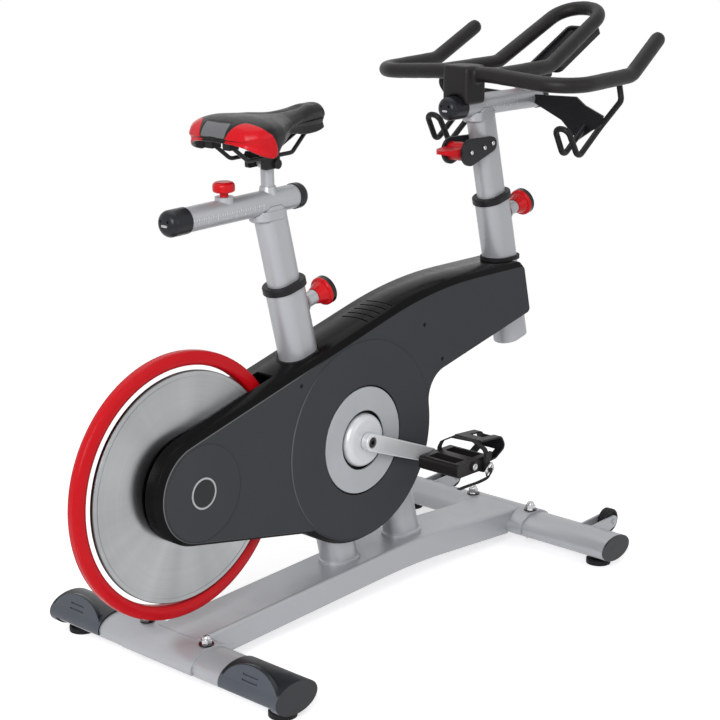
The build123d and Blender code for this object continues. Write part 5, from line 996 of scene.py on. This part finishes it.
def looseTail(name, middle, side, sizes):
    # a flat strap swept along its route, upright beside the buckle and turned to lie flat further back
    route = smoothPath([middle + np.array(spot) * (1, side, 1) for spot in sizes["route"]], sizes["count"])
    lean = np.clip(np.linspace(*sizes["lean"], sizes["count"]), 0, 1)[:, None] * math.pi / 2
    sideways = np.cos(lean) * (1, 0, 0) + np.sin(lean) * (0, -side, 0)
    return surfaceGrid(name, sweepSection(route, sideways, sizes["wide"], sizes["thick"]), (False, True),
                       materials["strap_fabric"])


for word, side in sides.items():
    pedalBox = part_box("pedal_" + word)
    spindle = ((pedalBox[0][0] + pedalBox[1][0]) / 2, (pedalBox[0][2] + pedalBox[1][2]) / 2)
    middle = np.array((spindle[0] + buckle["ahead"],
                       outerFace(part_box("toe_strap_" + word), side) + side * buckle["proud"],
                       spindle[1] - buckle["drop"]))
    end = turnedSet("pedalBolt_" + word, boltOutline, [(spindle[0], outerFace(pedalBox, side), spindle[1])],
                    (0, side, 0), brightSteel)
    clasp = strapBuckle("strapBuckle_" + word, middle, side, buckle)
    closePoles(clasp)
    tail = looseTail("strapTail_" + word, middle, side, strapTail)
    closePoles(tail)
    for piece, slot in ((end, "nut_chrome"), (clasp, "nut_chrome"), (tail, "strap_fabric")):
        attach(piece, "pedal_" + word)

# each sliding tube's rear cap has a bright catch under its two screw holes
catch = {"half": (0.0068, 0.0021), "drop": 0.0035, "sunk": 0.0006, "deep": 0.0011, "corner": 0.5, "rows": 8,
         "around": 40}
for node, body in (("seat_slider_caps", "seat_slider"), ("bar_slider_caps", "handlebar")):
    turn = fullTurn(catch["around"])
    swell = np.linspace(0, math.pi / 2, catch["rows"])[:, None]
    across, up = [half * np.cos(swell) * wave
                  for half, wave in zip(catch["half"], squaredTurn(turn, catch["corner"]))]
    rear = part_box(node)[0][0] + catch["sunk"] - catch["deep"] * np.sin(swell) + 0 * turn
    points = np.stack([rear, across, slidingTubes[body] - catch["drop"] + up], -1)
    plate = surfaceGrid("capCatch_" + body, points, (False, True), brightSteel)
    closePoles(plate)
    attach(plate, body)
print("fastenings made")


# studio
studio = {"floor": (0.8, 0.8, 0.805), "half": 6.0, "grid": 13, "lift": 0.6, "fade": (1.1, 2.3),
          "ambient": 0.38, "aim": (0, 0, 0.45)}
lamps = {
    "keyLight": {"place": (-2.9, -1.5, 1.9), "size": 1.5, "power": 72},
    "fillLight": {"place": (0.6, -3.4, 1.6), "size": 2.2, "power": 14},
    "topLight": {"place": (0.2, 0.6, 3.2), "size": 2.4, "power": 20},
}


def seenOutright(tree):
    # 1 for rays straight from the camera, mirrored or seen through glass, and 0 for the light that falls
    rays = addNode(tree, "LightPath").outputs
    direct = sums(tree, "ADD", rays["Is Camera Ray"], rays["Is Glossy Ray"])
    return sums(tree, "ADD", direct, rays["Is Transmission Ray"], clamp=True)


def floorMaterial(settings):
    # pale paper, lifted to white where it is seen or mirrored, and see-through towards its far edge
    material, tree, shader, place = startMaterial("studioFloor", {"rough": 0.9, "shine": 0.0})
    shader.inputs["Base Color"].default_value = (*settings["floor"], 1)
    shader.inputs["Emission Color"].default_value = (1, 1, 1, 1)
    away = addNode(tree, "VectorMath", operation="LENGTH", at={0: place}).outputs["Value"]
    feed(tree, shader, Emission_Strength=sums(tree, "MULTIPLY", seenOutright(tree), settings["lift"]),
         Alpha=opposite(tree, step(tree, away, *settings["fade"])))
    return material


edge = np.linspace(-studio["half"], studio["half"], studio["grid"])
across, along = np.meshgrid(edge, edge)
floor = surfaceGrid("floor", np.stack([across, along, 0 * across], -1), material=floorMaterial(studio))

world = bpy.data.worlds.new("studio")
bpy.context.scene.world = world
world.use_nodes = True
background = world.node_tree.nodes["Background"]
background.inputs["Color"].default_value = (1, 1, 1, 1)
level = addNode(world.node_tree, "MapRange", at={"Value": seenOutright(world.node_tree),
                                                 "To Min": studio["ambient"], "To Max": 1.0})
feed(world.node_tree, background, Strength=level.outputs[0])
for name, lamp in lamps.items():
    light = bpy.data.lights.new(name, "AREA")
    light.size = lamp["size"]
    light.energy = lamp["power"]
    holder = addObject(name, light)
    holder.location = lamp["place"]
    aim = np.array(studio["aim"]) - np.array(lamp["place"])
    holder.rotation_euler = (math.acos(-aim[2] / np.linalg.norm(aim)), 0, math.atan2(-aim[0], aim[1]))
bpy.context.scene.view_settings.view_transform = "Standard"
print("studio ready")
